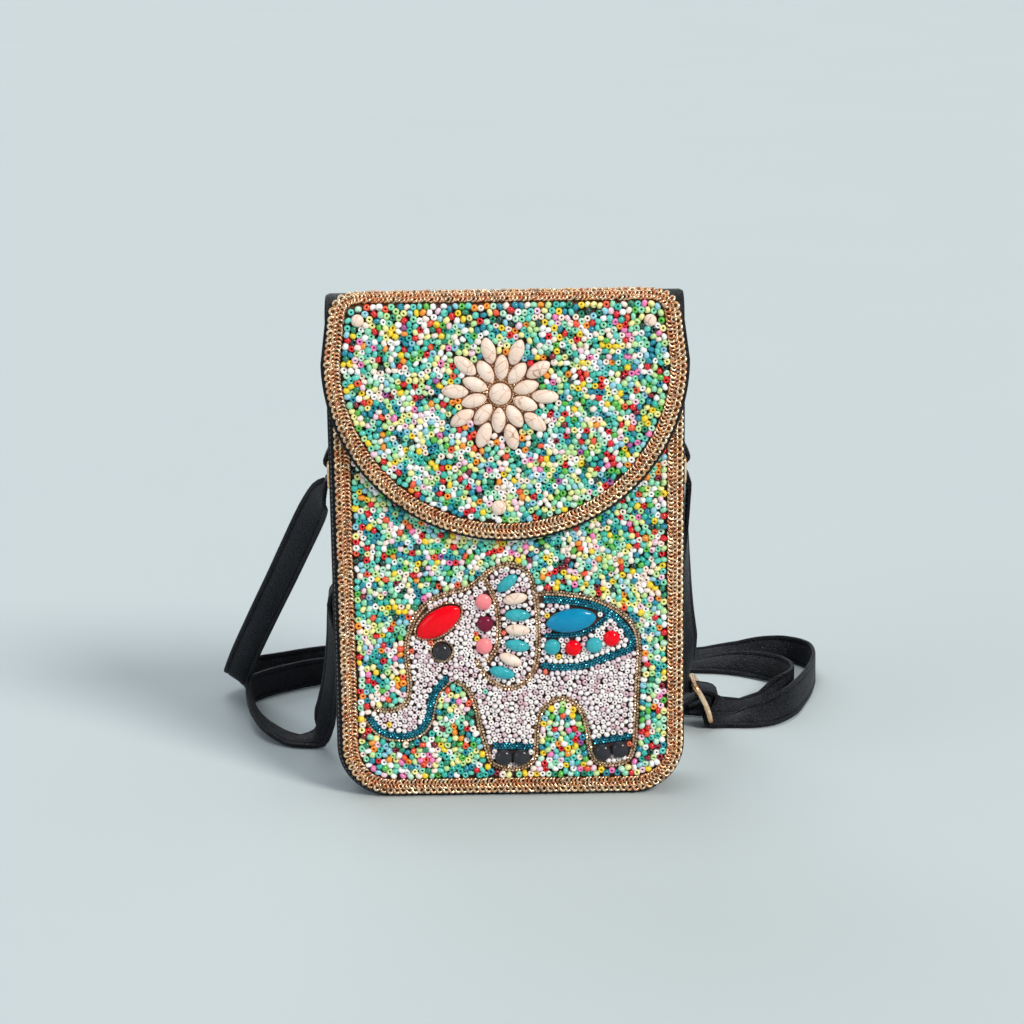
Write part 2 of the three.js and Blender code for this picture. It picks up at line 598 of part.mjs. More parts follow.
// A closed wire along a rectangle with round corners, standing in the plane of its two axes
function wireRing(centre, axisA, axisB, halfA, halfB, corner, radius) {
  const path = new THREE.Path();
  path.absarc(halfA - corner, halfB - corner, corner, 0, Math.PI / 2);
  path.absarc(corner - halfA, halfB - corner, corner, Math.PI / 2, Math.PI);
  path.absarc(corner - halfA, corner - halfB, corner, Math.PI, 1.5 * Math.PI);
  path.absarc(halfA - corner, corner - halfB, corner, 1.5 * Math.PI, 2 * Math.PI);
  const points = path.getPoints(2);
  const sides = sideways(points, true);
  const normal = new THREE.Vector3().crossVectors(axisA, axisB);
  const stations = points.map((point, i) => ({
    origin: centre.clone().addScaledVector(axisA, point.x).addScaledVector(axisB, point.y),
    across: new THREE.Vector3().addScaledVector(axisA, sides[i].x).addScaledVector(axisB, sides[i].y),
    out: normal,
  }));
  return sweep(polygon(radius, WIRE_SIDES), stations, true);
}

const ALONG_Y = new THREE.Vector3(0, 1, 0);
const ALONG_Z = new THREE.Vector3(0, 0, 1);

// One side's tab and ring; the other side is the same turned half round
function ringGroup(side) {
  const group = new THREE.Group();
  const barTop = RING_BAR_Z + RING_HEIGHT;
  const eye = WIRE_RADIUS + GAP;
  const outer = eye + TAB_WALL;
  const seat = BAG_WIDTH / 2 - GUSSET_INSET + GAP;
  const shape = new THREE.Shape();
  shape.moveTo(seat, barTop + eye);
  shape.lineTo(seat, barTop + TAB_HEIGHT);
  shape.lineTo(seat + 2 * TAB_WALL, barTop + TAB_HEIGHT);
  shape.lineTo(seat + 2 * TAB_WALL, barTop + 2 * outer);
  shape.absarc(RING_OFFSET, barTop, outer, 0, -Math.PI, true);
  const hole = new THREE.Path();
  hole.absarc(RING_OFFSET, barTop, eye, 0, 2 * Math.PI);
  shape.holes.push(hole);
  addPiece(group, `ring_tab_${side}`, upright(shape, -TAB_WIDTH / 2, TAB_WIDTH), LEATHER);
  const centre = new THREE.Vector3(RING_OFFSET, 0, RING_BAR_Z + RING_HEIGHT / 2);
  const halfLength = STRAP_WIDTH / 2 + GAP + RING_CORNER;
  const ring = wireRing(centre, ALONG_Y, ALONG_Z, halfLength, RING_HEIGHT / 2, RING_CORNER, WIRE_RADIUS);
  addPiece(group, `ring_${side}`, ring, GOLD);
  return group;
}

// The slide lies along the strap: its run falls to the right, its bars go across
const SLIDE_RUN = new THREE.Vector3(Math.cos(SLIDE_SLOPE), 0, -Math.sin(SLIDE_SLOPE));
const SLIDE_OUT = new THREE.Vector3(Math.sin(SLIDE_SLOPE), 0, Math.cos(SLIDE_SLOPE));

function slideGeometry() {
  const halfWidth = STRAP_WIDTH / 2 + 2 * GAP + SLIDE_WIRE_RADIUS;
  const frame = wireRing(
    SLIDE_CENTRE, ALONG_Y, SLIDE_RUN, halfWidth, SLIDE_HALF_LENGTH, SLIDE_CORNER, SLIDE_WIRE_RADIUS);
  const ends = [-halfWidth, halfWidth].map((y) => ({
    origin: SLIDE_CENTRE.clone().addScaledVector(ALONG_Y, y),
    across: SLIDE_RUN,
    out: SLIDE_OUT,
  }));
  return fuse([frame, sweep(polygon(SLIDE_BAR_RADIUS, WIRE_SIDES), ends, false)]);
}

function slidePoint(run, out, edge) {
  const point = SLIDE_CENTRE.clone().addScaledVector(SLIDE_RUN, run).addScaledVector(SLIDE_OUT, out);
  return [point.x, point.y, point.z, 0, edge, 0];
}

const RING_TURN = WIRE_RADIUS + GAP + STRAP_THICKNESS / 2;
const SLIDE_TURN = SLIDE_WIRE_RADIUS + GAP + STRAP_THICKNESS / 2;

// The strap turns over a ring's lower bar, from one side of it to the other
function ringTurn(x, fromAngle, toAngle) {
  const steps = 4;
  const rows = [];
  for (let i = 0; i <= steps; i++) {
    const angle = THREE.MathUtils.degToRad(fromAngle + ((toAngle - fromAngle) * i) / steps);
    rows.push([x + RING_TURN * Math.cos(angle), 0, RING_BAR_Z + RING_TURN * Math.sin(angle), 0, 1, 0]);
  }
  return rows;
}

function strapRoute() {
  const sewnEnd = [[RING_OFFSET - RING_TURN, 0, RING_BAR_Z - STRAP_SEWN_END, 0, 1, 0]];
  const weave = [];
  const weaveSteps = 6;
  for (let i = -weaveSteps; i <= weaveSteps; i++) {
    const run = (SLIDE_HALF_LENGTH * i) / weaveSteps;
    const out = WEAVE_MIDDLE + WEAVE_SWING * Math.cos((Math.PI * i) / weaveSteps);
    weave.push(slidePoint(run, out, 1));
  }
  // round the middle bar, as the run along the slide and the height out of it
  const middleBar = [[-SLIDE_TURN, -9], [-SLIDE_TURN, -4], [-SLIDE_TURN, 0]];
  for (const degrees of [135, 90, 45, 0]) {
    const angle = THREE.MathUtils.degToRad(degrees);
    middleBar.push([SLIDE_TURN * Math.cos(angle), SLIDE_TURN * Math.sin(angle)]);
  }
  middleBar.push([SLIDE_TURN, -4], [SLIDE_TURN, -7]);
  return [
    ...sewnEnd,
    ...ringTurn(RING_OFFSET, 180, 0),
    ...STRAP_DOWN_RIGHT,
    ...weave,
    ...STRAP_ROUND_BACK,
    ...ringTurn(-RING_OFFSET, 180, 0),
    ...STRAP_LEFT_LOOP,
    ...middleBar.map(([run, out]) => slidePoint(run, out, -1)),
  ];
}

// The strap turns with its route and lies just clear of the floor
function strapGeometry() {
  const [a, b] = [STRAP_WIDTH / 2, STRAP_THICKNESS / 2];
  const route = strapRoute();
  const places = route.map(([x, y, z]) => new THREE.Vector3(x, y, z));
  const edges = route.map((row) => new THREE.Vector3(row[3], row[4], row[5]).normalize());
  const path = new THREE.CatmullRomCurve3(places, false, 'centripetal');
  const spans = places.length - 1;
  const stations = [];
  for (let i = 0; i < spans; i++) {
    const pieces = Math.max(1, Math.round(places[i].distanceTo(places[i + 1]) / STRAP_STEP));
    for (let k = 0; k < pieces || (i === spans - 1 && k === pieces); k++) {
      const along = (i + k / pieces) / spans;
      const tangent = path.getTangent(along);
      const across = edges[i].clone().lerp(edges[i + 1], k / pieces);
      across.addScaledVector(tangent, -across.dot(tangent)).normalize();
      const out = new THREE.Vector3().crossVectors(tangent, across);
      const origin = path.getPoint(along);
      origin.z = Math.max(origin.z, GAP + a * Math.abs(across.z) + b * Math.abs(out.z));
      stations.push({ origin, across, out });
    }
  }
  return sweep([[-a, -b], [a, -b], [a, b], [-a, b]], stations, false);
}

// Leather
addPiece(bag, 'front_panel', upright(panelShape(), FRONT_Y, PANEL_THICKNESS), LEATHER);
addPiece(bag, 'back_panel', backPanel(), LEATHER);
const gussetDepth = POUCH_DEPTH - 2 * (PANEL_THICKNESS + GAP);
addPiece(bag, 'gusset', upright(gussetShape(), -gussetDepth / 2, gussetDepth), LEATHER);
addPiece(bag, 'flap', flapGeometry(), LEATHER);
addPiece(bag, 'strap', strapGeometry(), LEATHER);

// Metal
bag.add(ringGroup('right'));
const leftRing = ringGroup('left');
leftRing.rotation.z = Math.PI;
bag.add(leftRing);
addPiece(bag, 'slide', slideGeometry(), GOLD);
const snap = new THREE.CylinderGeometry(SNAP_RADIUS, SNAP_RADIUS, SNAP_HEIGHT, 16);
snap.rotateX(Math.PI / 2);
addPiece(faces.panel, 'magnet_snap', snap, COPPER).position.set(0, SNAP_Z, GAP + SNAP_HEIGHT / 2);
addPiece(faces.panel, 'panel_chain', panelChain(), GOLD);
addPiece(bag, 'flap_chain', flapChain(), GOLD);

// Elephant
const outline = fuse([HEAD_LINE, EAR_LINE, BODY_LINE].map((line) => chainTube(line, OUTLINE_RADIUS)));
addPiece(faces.panel, 'elephant_outline', outline, COPPER);
addPiece(faces.panel, 'trunk_trim', fuse([chainTube(TRUNK_LINE, TRIM_RADIUS)]), TEAL_METAL);
const saddle = fuse([SADDLE_LINE, SADDLE_INNER_LINE].map((line) => chainTube(line, TRIM_RADIUS)));
addPiece(faces.panel, 'saddle_trim', saddle, TEAL_METAL);
for (const [name, band, toes] of FEET) {
  addPiece(faces.panel, name, foot(band, toes), CHARCOAL);
}

// Stones
for (const [name, face, x, z, diameter, height, finish] of ROUND_STONES) {
  addPiece(faces[face], name, roundStone(diameter, height), finish).position.set(x, z, 0);
}
for (const [name, x, z, length, width, height, angle, finish] of LONG_STONES) {
  addPiece(faces.panel, name, longStone(length, width, height, angle), finish).position.set(x, z, 0);
}

// Flower
const heart = roundStone(FLOWER.centre, FLOWER.height);
addPiece(faces.flap, 'flower_centre', heart, CREAM).position.set(FLOWER.x, FLOWER.z, 0);
for (const [name, radius, first, length, width] of PETAL_RINGS) {
  for (let i = 0; i < PETALS_PER_RING; i++) {
    const degrees = first - (360 * i) / PETALS_PER_RING;
    const angle = THREE.MathUtils.degToRad(degrees);
    const petal = addPiece(
      faces.flap,
      `${name}_${String(i + 1).padStart(2, '0')}`,
      longStone(length, width, PETAL_HEIGHT, degrees),
      CREAM);
    petal.position.set(FLOWER.x + radius * Math.cos(angle), FLOWER.z + radius * Math.sin(angle), 0);
  }
}

export default bag;
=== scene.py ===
# Dressed model of a crossbody phone bag: a black leather pouch with a half-round flap, both covered in
# glass beadwork inside borders of gold chain, on one long leather strap that lies behind it.
import math

import bmesh
import bpy
import numpy as np
from mathutils import Matrix
from mathutils.kdtree import KDTree


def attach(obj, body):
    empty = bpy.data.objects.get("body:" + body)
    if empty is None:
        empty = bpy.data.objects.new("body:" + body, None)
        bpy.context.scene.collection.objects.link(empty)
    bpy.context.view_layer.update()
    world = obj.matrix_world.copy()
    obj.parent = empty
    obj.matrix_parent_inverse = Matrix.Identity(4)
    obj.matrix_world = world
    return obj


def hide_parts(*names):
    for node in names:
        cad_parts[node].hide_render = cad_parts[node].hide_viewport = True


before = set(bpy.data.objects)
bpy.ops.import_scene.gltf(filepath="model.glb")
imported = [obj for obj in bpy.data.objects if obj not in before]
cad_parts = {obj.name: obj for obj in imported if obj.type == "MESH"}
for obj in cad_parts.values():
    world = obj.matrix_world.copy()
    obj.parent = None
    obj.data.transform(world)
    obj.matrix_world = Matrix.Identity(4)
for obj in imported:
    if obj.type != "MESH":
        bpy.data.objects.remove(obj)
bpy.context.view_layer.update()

rng = np.random.default_rng(26)

# Sizes in millimetres, as the solids have them
MM = 0.001
GAP = 0.3
BAG_WIDTH = 130
POUCH_HEIGHT = 178
POUCH_DEPTH = 25
PANEL_THICKNESS = 2
PANEL_CORNER = 20
BACK_BELLY = 3
BACK_BELLY_TOP = 142
GUSSET_THICKNESS = 1.6
GUSSET_INSET = 3.2
GUSSET_CORNER = 17
GUSSET_EDGE = 0.4
EDGE_ROUND = 0.5
FELT_THICKNESS = 0.2
FELT_EDGE = 0.05
FELT_STEP = 2
SOFT_EDGE_ANGLE = 35

FLAP_THICKNESS = 1.8
FLAP_STANDOFF = 3.2
FLAP_RADIUS = 66.5
FLAP_ROUND_Z = 166.2
FLAP_TOP_HALF_WIDTH = 64.5
FLAP_BEND_Z = 181
FLAP_FRONT_BEND = 9
FLAP_BACK_BEND = 7
FLAP_BEND_ANGLE = math.radians(97)
FLAP_BACK_DROP = 32

CHAIN_BAND = 6.4
FELT_REACH = CHAIN_BAND / 2 - 0.5
PANEL_CHAIN_SHIFT = 0.8
PANEL_RIM = 1.2
FLAP_RIM = 1.1
PANEL_CHAIN_TOP = 174
FLAP_CHAIN_CORNER = 8
FLAP_CHAIN_TOP_ANGLE = math.radians(58)

WIRE_RADIUS = 0.9
WIRE_STEP = 0.5
STRAP_WIDTH = 12
STRAP_THICKNESS = 1.6
STRAP_SEWN_END = 12.5
STRAP_STEP = 2.5
RING_BAR_Z = 118.5
RING_HEIGHT = 9
RING_OFFSET = 65.1
RING_CORNER = 1.3
TAB_WIDTH = 10
TAB_HEIGHT = 16
TAB_WALL = 1.4
TAB_SLACK = 0.05
TAB_EDGE = 0.35
SLIDE_WIRE_RADIUS = 1.1
SLIDE_BAR_RADIUS = 1.0
SLIDE_HALF_LENGTH = 8.5
SLIDE_CORNER = 2.5
SLIDE_SLOPE = math.radians(66)
SLIDE_CENTRE = np.array([78.3, 65.7, 11.9])
SLIDE_BOW = 1.0
WEAVE_MIDDLE = 1.0
WEAVE_SWING = 4.3
SNAP_RADIUS = 7
SNAP_HEIGHT = 2.6
SNAP_Z = 118
HANDS = {"left": -1, "right": 1}

FRONT_Y = -POUCH_DEPTH / 2
FLAP_FRONT_Y = FRONT_Y - FLAP_STANDOFF - FLAP_THICKNESS
FLAP_BACK_Y = POUCH_DEPTH / 2 + GAP + FLAP_THICKNESS
FLAP_FRONT_LENGTH = FLAP_BEND_Z - FLAP_ROUND_Z + FLAP_RADIUS
FLAP_BEND_LENGTH = FLAP_FRONT_BEND * FLAP_BEND_ANGLE
FLAP_TOP_LENGTH = (
    FLAP_BACK_Y - FLAP_BACK_BEND * (1 + math.cos(FLAP_BEND_ANGLE))
    - FLAP_FRONT_Y - FLAP_FRONT_BEND * (1 - math.cos(FLAP_BEND_ANGLE))
) / math.sin(FLAP_BEND_ANGLE)
FLAP_TURN_LENGTH = FLAP_BACK_BEND * (math.pi - FLAP_BEND_ANGLE)
FLAP_TURN_START = FLAP_FRONT_LENGTH + FLAP_BEND_LENGTH + FLAP_TOP_LENGTH
FLAP_LENGTH = FLAP_TURN_START + FLAP_TURN_LENGTH + FLAP_BACK_DROP

# Lines of the elephant on the panel, as x and z
HEAD_LINE = [
    [-51, 35], [-45, 34.2], [-39.5, 36.5], [-37.5, 41.5], [-37.6, 49], [-38.3, 57], [-37, 64.5], [-34, 71.5],
    [-29, 76.5], [-22, 79.5], [-14.5, 81.7], [-9.5, 85.5], [-5, 88.7], [-0.5, 90], [4.5, 89], [7.7, 86],
    [9.4, 80.5], [10.4, 73], [10.8, 62], [9.8, 51.5], [7, 46], [3.3, 43.2], [-1, 42.3], [-5.5, 44.4],
    [-9.4, 48], [-12, 53],
]
EAR_TURN = 17
EAR_LINE = [[-9.5, 85.5], [-6, 79], [-4.2, 72.5], [-3.8, 65.5], [-4.8, 58], [-8, 53]]
BODY_LINE = [
    [9.8, 78.5], [15.5, 78.9], [23, 78.1], [30, 76.8], [36, 74.4], [42, 70.6], [46.1, 66], [48, 59.5],
    [47.4, 42], [46.9, 28], [46.2, 19], [43.8, 13.5], [38, 11.8], [32.5, 12.6], [29.8, 17], [28.8, 25],
    [26.8, 32.5], [23.5, 36.7], [19, 38], [14.5, 36.3], [11.2, 32], [9.9, 26], [9.6, 20], [8.6, 14.2],
    [4, 10.9], [-2, 10.8], [-6.9, 13], [-9, 19], [-11, 26], [-12.3, 33], [-14.5, 40], [-17, 43.2], [-20, 45],
]
TRUNK_LINE = [
    [-52.5, 31.6], [-50.5, 28.4], [-47.5, 25.7], [-42.5, 24.2], [-37, 24.7], [-33, 27.2], [-30.7, 31.5],
    [-29.5, 37], [-27.7, 41.7], [-23.8, 46.2],
]
SADDLE_LINE = [
    [13.2, 76.2], [17, 76.1], [24, 75.2], [30.5, 74], [35.6, 71.7], [40.4, 68.1], [43.9, 63.6], [45.8, 59],
    [44.6, 56.6], [41, 55.5], [34.5, 53], [27.5, 50.7], [21, 50], [15, 50.4], [12.6, 50.9],
]
SADDLE_HEM_START = 7
SADDLE_INNER_LINE = [[13.2, 62.5], [17.5, 62.4], [22.5, 62.5], [27.5, 63.3], [32.2, 65.8], [37.6, 70.3]]
FEET = [
    # node, then the band's ends and the two toes as x and z
    ["foot_front", [[-6.2, 19.6], [7.3, 19.3]], [[-2.6, 15.5], [3.9, 15.5]]],
    ["foot_back", [[31.4, 20.9], [44.2, 22.7]], [[34.4, 17], [40.8, 18]]],
]
TOE_DIAMETER = 6.6
TOE_HEIGHT = 4.2

EYE_X, EYE_Z = -25, 57
FLOWER_X, FLOWER_Z = -2, 155
ROUND_STONES = [
    # node, face, x, z, diameter, height, stone
    ["flap_bead_left", "flap", -52.6, 182, 4.6, 3.4, "cream"],
    ["flap_bead_right", "flap", 52, 181, 4.6, 3.4, "cream"],
    ["flap_bead_tip", "flap", -3, 113, 5.5, 3.8, "cream"],
    ["flower_centre", "flap", FLOWER_X, FLOWER_Z, 8, 4, "cream"],
    ["eye_bead", "panel", EYE_X, EYE_Z, 6.6, 4.2, "charcoal"],
    ["cheek_bead_01", "panel", -9.3, 76, 6.1, 3.8, "pink"],
    ["cheek_bead_02", "panel", -8.8, 67.5, 6.1, 3.8, "dark_red"],
    ["cheek_bead_03", "panel", -9.3, 59, 6.1, 3.8, "pink"],
    ["saddle_bead_01", "panel", 15.9, 58.3, 6, 3.8, "teal"],
    ["saddle_bead_02", "panel", 23.7, 57.8, 6, 3.8, "red"],
    ["saddle_bead_03", "panel", 31.5, 58.8, 6, 3.8, "teal"],
    ["saddle_bead_04", "panel", 37.9, 61.3, 6, 3.8, "red"],
]
LONG_STONES = [
    # node, face, x, z, length, width, height, angle, stone
    ["brow_stone", "panel", -26, 68.5, 18.9, 9.3, 4.6, 34, "red"],
    ["saddle_stone", "panel", 23, 68.5, 18.7, 9, 4.6, 8, "blue"],
    ["ear_stone_01", "panel", -0.5, 83, 9.2, 4.4, 3.6, 40, "teal"],
    ["ear_stone_02", "panel", 2.4, 77, 9.2, 4.4, 3.6, 10, "cream"],
    ["ear_stone_03", "panel", 3.2, 70.7, 9.6, 4.6, 3.6, -3, "teal"],
    ["ear_stone_04", "panel", 3.2, 65, 9.2, 4.4, 3.6, -5, "cream"],
    ["ear_stone_05", "panel", 3, 59, 9.2, 4.4, 3.6, -12, "teal"],
    ["ear_stone_06", "panel", 0.4, 53.6, 9, 4.4, 3.6, -25, "cream"],
    ["ear_stone_07", "panel", -2.8, 48.6, 9.6, 4.6, 3.6, -15, "teal"],
]
# How pointed a stone's outline is
ROUND_POWER = 0.5
LONG_POWER = 0.57
POINTED_POWER = 0.62
PETAL_RINGS = [
    # name, ring radius, angle of the first petal, length, width
    ["inner_petal", 9.7, 86, 9.4, 5.1],
    ["outer_petal", 16.3, 68, 9.8, 5.3],
]
PETALS_PER_RING = 10
FLOWER_BED = 14.5
PETAL_HEIGHT = 3.8
for name, radius, first, length, width in PETAL_RINGS:
    for i in range(PETALS_PER_RING):
        degrees = first - 360 * i / PETALS_PER_RING
        x = FLOWER_X + radius * math.cos(math.radians(degrees))
        z = FLOWER_Z + radius * math.sin(math.radians(degrees))
        petal = [f"{name}_{i + 1:02d}", "flap", x, z, length, width, PETAL_HEIGHT, degrees, "cream"]
        LONG_STONES.append(petal)

# The strap's middle line, with the direction of one edge
STRAP_DOWN_RIGHT = [
    # x, y, z, then the edge's direction
    [67.2, 2.5, 111, 0.03, 1, 0.1],
    [67, 9, 99, 0.04, 0.97, 0.22],
    [67.5, 22, 81, 0.25, 0.92, 0.3],
    [68.6, 38, 58, 0.5, 0.8, 0.3],
    [70.6, 49, 40, 0.62, 0.73, 0.3],
    [71.4, 57.5, 27.5, 0.4, 0.9, 0.15],
    [71.1, 63.2, 21, 0.08, 1, 0],
]
STRAP_ROUND_BACK = [
    [82.2, 66, 1.6, 0, 1, 0],
    [87, 66.5, 1.3, 0, 1, 0],
    [92, 66.3, 1.6, 0, 0.98, 0.15],
    [98, 65.3, 3, 0.05, 0.87, 0.48],
    [104.5, 67, 3.7, -0.2, 0.82, 0.55],
    [113, 74, 5, -0.35, 0.35, 0.87],
    [121, 90.5, 5.8, -0.2, 0.1, 0.97],
    [127.5, 111, 6.2, -0.08, 0, 1],
    [130.3, 127, 6.2, 0, 0, 1],
    [129, 140.5, 6.2, 0.05, 0.05, 1],
    [122.5, 148.5, 6.2, 0, 0, 1],
    [112, 150, 5.6, 0, 0.4, 0.92],
    [100, 150.5, 4, 0, 0.78, 0.62],
    [85, 153.5, 2.6, 0, 0.96, 0.28],
    [65, 154.5, 1.8, 0, 1, 0.1],
    [0, 153, 1.8, 0, 1, 0.1],
    [-45, 149, 4, 0, 0.75, 0.65],
    [-80, 144.5, 6.2, 0, 0, 1],
    [-98, 136, 6.2, 0, 0, 1],
    [-108.5, 129, 6.6, -0.1, 0.1, 1],
    [-114.5, 121.5, 6.8, -0.45, 0.1, 0.9],
    [-116, 113, 8, -0.8, 0, 0.6],
    [-112.7, 104, 17.6, -0.95, 0, 0.3],
    [-101.6, 78, 42.8, -0.96, 0, 0.27],
    [-90.6, 55, 66.5, -0.95, 0, 0.32],
    [-80.8, 32, 88.2, -0.93, 0.05, 0.36],
    [-74.2, 18, 102.6, -0.75, 0.2, 0.62],
    [-70, 7.5, 111.4, -0.5, 0.72, 0.45],
    [-67.5, 1.4, 115.5, -0.05, 1, 0.05],
]
STRAP_LEFT_LOOP = [
    [-63.3, 0.2, 113, 0, 1, 0],
    [-63.2, 0.8, 104, 0, 1, 0],
    [-63.3, 2.2, 90, 0, 1, 0],
    [-64.3, 2.6, 80, 0, 1, 0],
    [-66.8, 4.8, 74, 0, 1, 0.03],
    [-67.3, 9.5, 68, -0.08, 1, 0.05],
    [-67.6, 19, 57, -0.3, 0.95, 0.1],
    [-68.2, 25.5, 47, -0.4, 0.9, 0.1],
    [-70.3, 33, 30, -0.5, 0.85, 0.12],
    [-73.4, 40, 14.5, -0.65, 0.75, 0.1],
    [-77.3, 47, 3.6, -0.4, 0.9, 0.1],
    [-85, 49.3, 1.3, 0.05, 1, 0.05],
    [-90.3, 52.6, 1.5, 0.45, 0.88, -0.1],
    [-95.5, 58, 2.6, 0.76, 0.58, -0.3],
    [-100.8, 67.5, 4, 0.76, 0.3, -0.57],
    [-105.4, 80, 5.5, 0.48, 0.1, -0.87],
    [-108, 93.5, 6.3, 0.2, 0.02, -0.98],
    [-108.3, 102.5, 6.4, 0.05, 0, -1],
    [-103.5, 109.5, 6.4, 0, 0, -1],
    [-96, 116.5, 6.4, 0, 0, -1],
    [-80.5, 126, 6.4, 0, 0, -1],
    [-50, 133, 5.6, 0, -0.4, -0.9],
    [0, 139, 2.6, 0, -0.93, -0.35],
    [45, 141.5, 1.6, 0, -1, -0.1],
    [80, 141, 1.8, 0, -1, -0.15],
    [95, 137, 3.1, -0.2, -0.82, -0.54],
    [107, 128.5, 4.9, -0.3, -0.5, -0.81],
    [115.7, 118, 5.9, -0.15, -0.2, -0.96],
    [119, 107.5, 6.1, 0, 0, -1],
    [115.5, 96.5, 5.2, -0.1, -0.42, -0.9],
    [106.5, 87, 2.9, 0.3, -0.88, -0.38],
    [96.5, 81, 2.3, 0.15, -0.95, -0.25],
    [87, 79.3, 2.7, 0, -0.92, -0.38],
    [77.5, 79.5, 4.6, 0, -0.62, -0.78],
    [68.5, 79, 6.2, 0, -0.15, -0.98],
    [62.3, 74, 6.6, 0.1, 0, -1],
    [63.6, 67.6, 8, 0.1, -0.65, -0.75],
]


# Materials
def linear(code):
    """Linear RGBA of an sRGB hex colour."""
    shares = [int(code[i:i + 2], 16) / 255 for i in (1, 3, 5)]
    return [v / 12.92 if v <= 0.04045 else ((v + 0.055) / 1.055) ** 2.4 for v in shares] + [1.0]


def add_node(tree, kind, settings=None, links=None):
    """Adds a node. Settings are properties or input values, links the outputs that feed its inputs."""
    made = tree.nodes.new(kind)
    for key, value in (settings or {}).items():
        if isinstance(key, str) and hasattr(made, key):
            setattr(made, key, value)
        else:
            made.inputs[key].default_value = value
    for key, output in (links or {}).items():
        tree.links.new(output, made.inputs[key])
    return made


def shaded(name, sockets):
    """A new material and its tree, main shader and object coordinates."""
    made = bpy.data.materials.new(name)
    made.use_nodes = True
    shader = made.node_tree.nodes["Principled BSDF"]
    for socket, value in sockets.items():
        shader.inputs[socket].default_value = value
    place = add_node(made.node_tree, "ShaderNodeTexCoord").outputs["Object"]
    return made, made.node_tree, shader, place


def mottled(name, sockets, pattern, settings, tones, spread=(0.0, 1.0), roughness=None):
    """A material whose tones and gloss follow one pattern: it, its tree, main shader and the pattern."""
    made, tree, shader, place = shaded(name, sockets)
    share = add_node(tree, pattern, settings, {"Vector": place}).outputs["Fac"]
    mixed = add_node(tree, "ShaderNodeMapRange", {1: spread[0], 2: spread[1]}, {0: share})
    first, last = (linear(code) for code in tones)
    tone = add_node(tree, "ShaderNodeMix", {"data_type": "RGBA", 6: first, 7: last}, {0: mixed.outputs[0]})
    tree.links.new(tone.outputs[2], shader.inputs["Base Color"])
    if roughness:
        gloss = add_node(tree, "ShaderNodeMapRange", {3: roughness[0], 4: roughness[1]}, {0: share})
        tree.links.new(gloss.outputs[0], shader.inputs["Roughness"])
    return made, tree, shader, share


def embossed_leather(name, dark, lit, grain_mm, depth_mm, gloss_level):
    # Coated leather with an embossed pebble grain: nearly black, with the pebble crowns greyer in patches,
    # which is partly wear and partly painted highlight, and a soft broken gloss
    crease_mm = 7
    made, tree, shader, place = shaded(name, {"IOR": 1.5, "Specular IOR Level": gloss_level})
    pebble = add_node(
        tree, "ShaderNodeTexVoronoi",
        {"feature": "DISTANCE_TO_EDGE", "Scale": 1 / (grain_mm * MM), "Randomness": 0.9}, {"Vector": place})
    crown = add_node(
        tree, "ShaderNodeMapRange", {"interpolation_type": "SMOOTHSTEP", 2: 0.32},
        {0: pebble.outputs["Distance"]}).outputs[0]
    creases = add_node(
        tree, "ShaderNodeTexNoise", {"Scale": 1 / (crease_mm * MM), "Detail": 5.0, "Distortion": 0.6},
        {"Vector": place}).outputs["Fac"]
    # Crease noise that greys the pebble crowns: partly wear, partly painted highlight
    crown_highlight_and_wear = add_node(tree, "ShaderNodeMapRange", {1: 0.35, 2: 0.75, 3: 0.0, 4: 0.6}, {0: creases})
    share = add_node(tree, "ShaderNodeMath", {"operation": "MULTIPLY"}, {0: crown, 1: crown_highlight_and_wear.outputs[0]})
    tone = add_node(
        tree, "ShaderNodeMix", {"data_type": "RGBA", 6: linear(dark), 7: linear(lit)}, {0: share.outputs[0]})
    tree.links.new(tone.outputs[2], shader.inputs["Base Color"])
    gloss = add_node(tree, "ShaderNodeMapRange", {3: 0.3, 4: 0.6}, {0: creases})
    tree.links.new(gloss.outputs[0], shader.inputs["Roughness"])
    height = add_node(tree, "ShaderNodeMath", {"operation": "MULTIPLY_ADD", 1: 0.7}, {0: creases, 2: crown})
    relief = add_node(
        tree, "ShaderNodeBump", {"Strength": 0.8, "Distance": depth_mm * MM}, {"Height": height.outputs[0]})
    tree.links.new(relief.outputs[0], shader.inputs["Normal"])
    return made


def plated_metal(name, bright, worn, roughness, patch_mm, metallic):
    # Thin plating on brass wire and beads: bright where it is rubbed, duller and darker where it wears
    return mottled(
        name, {"Metallic": metallic}, "ShaderNodeTexNoise", {"Scale": 1 / (patch_mm * MM), "Detail": 3.0},
        (bright, worn), (0.38, 0.66), (roughness, roughness + 0.16))[0]


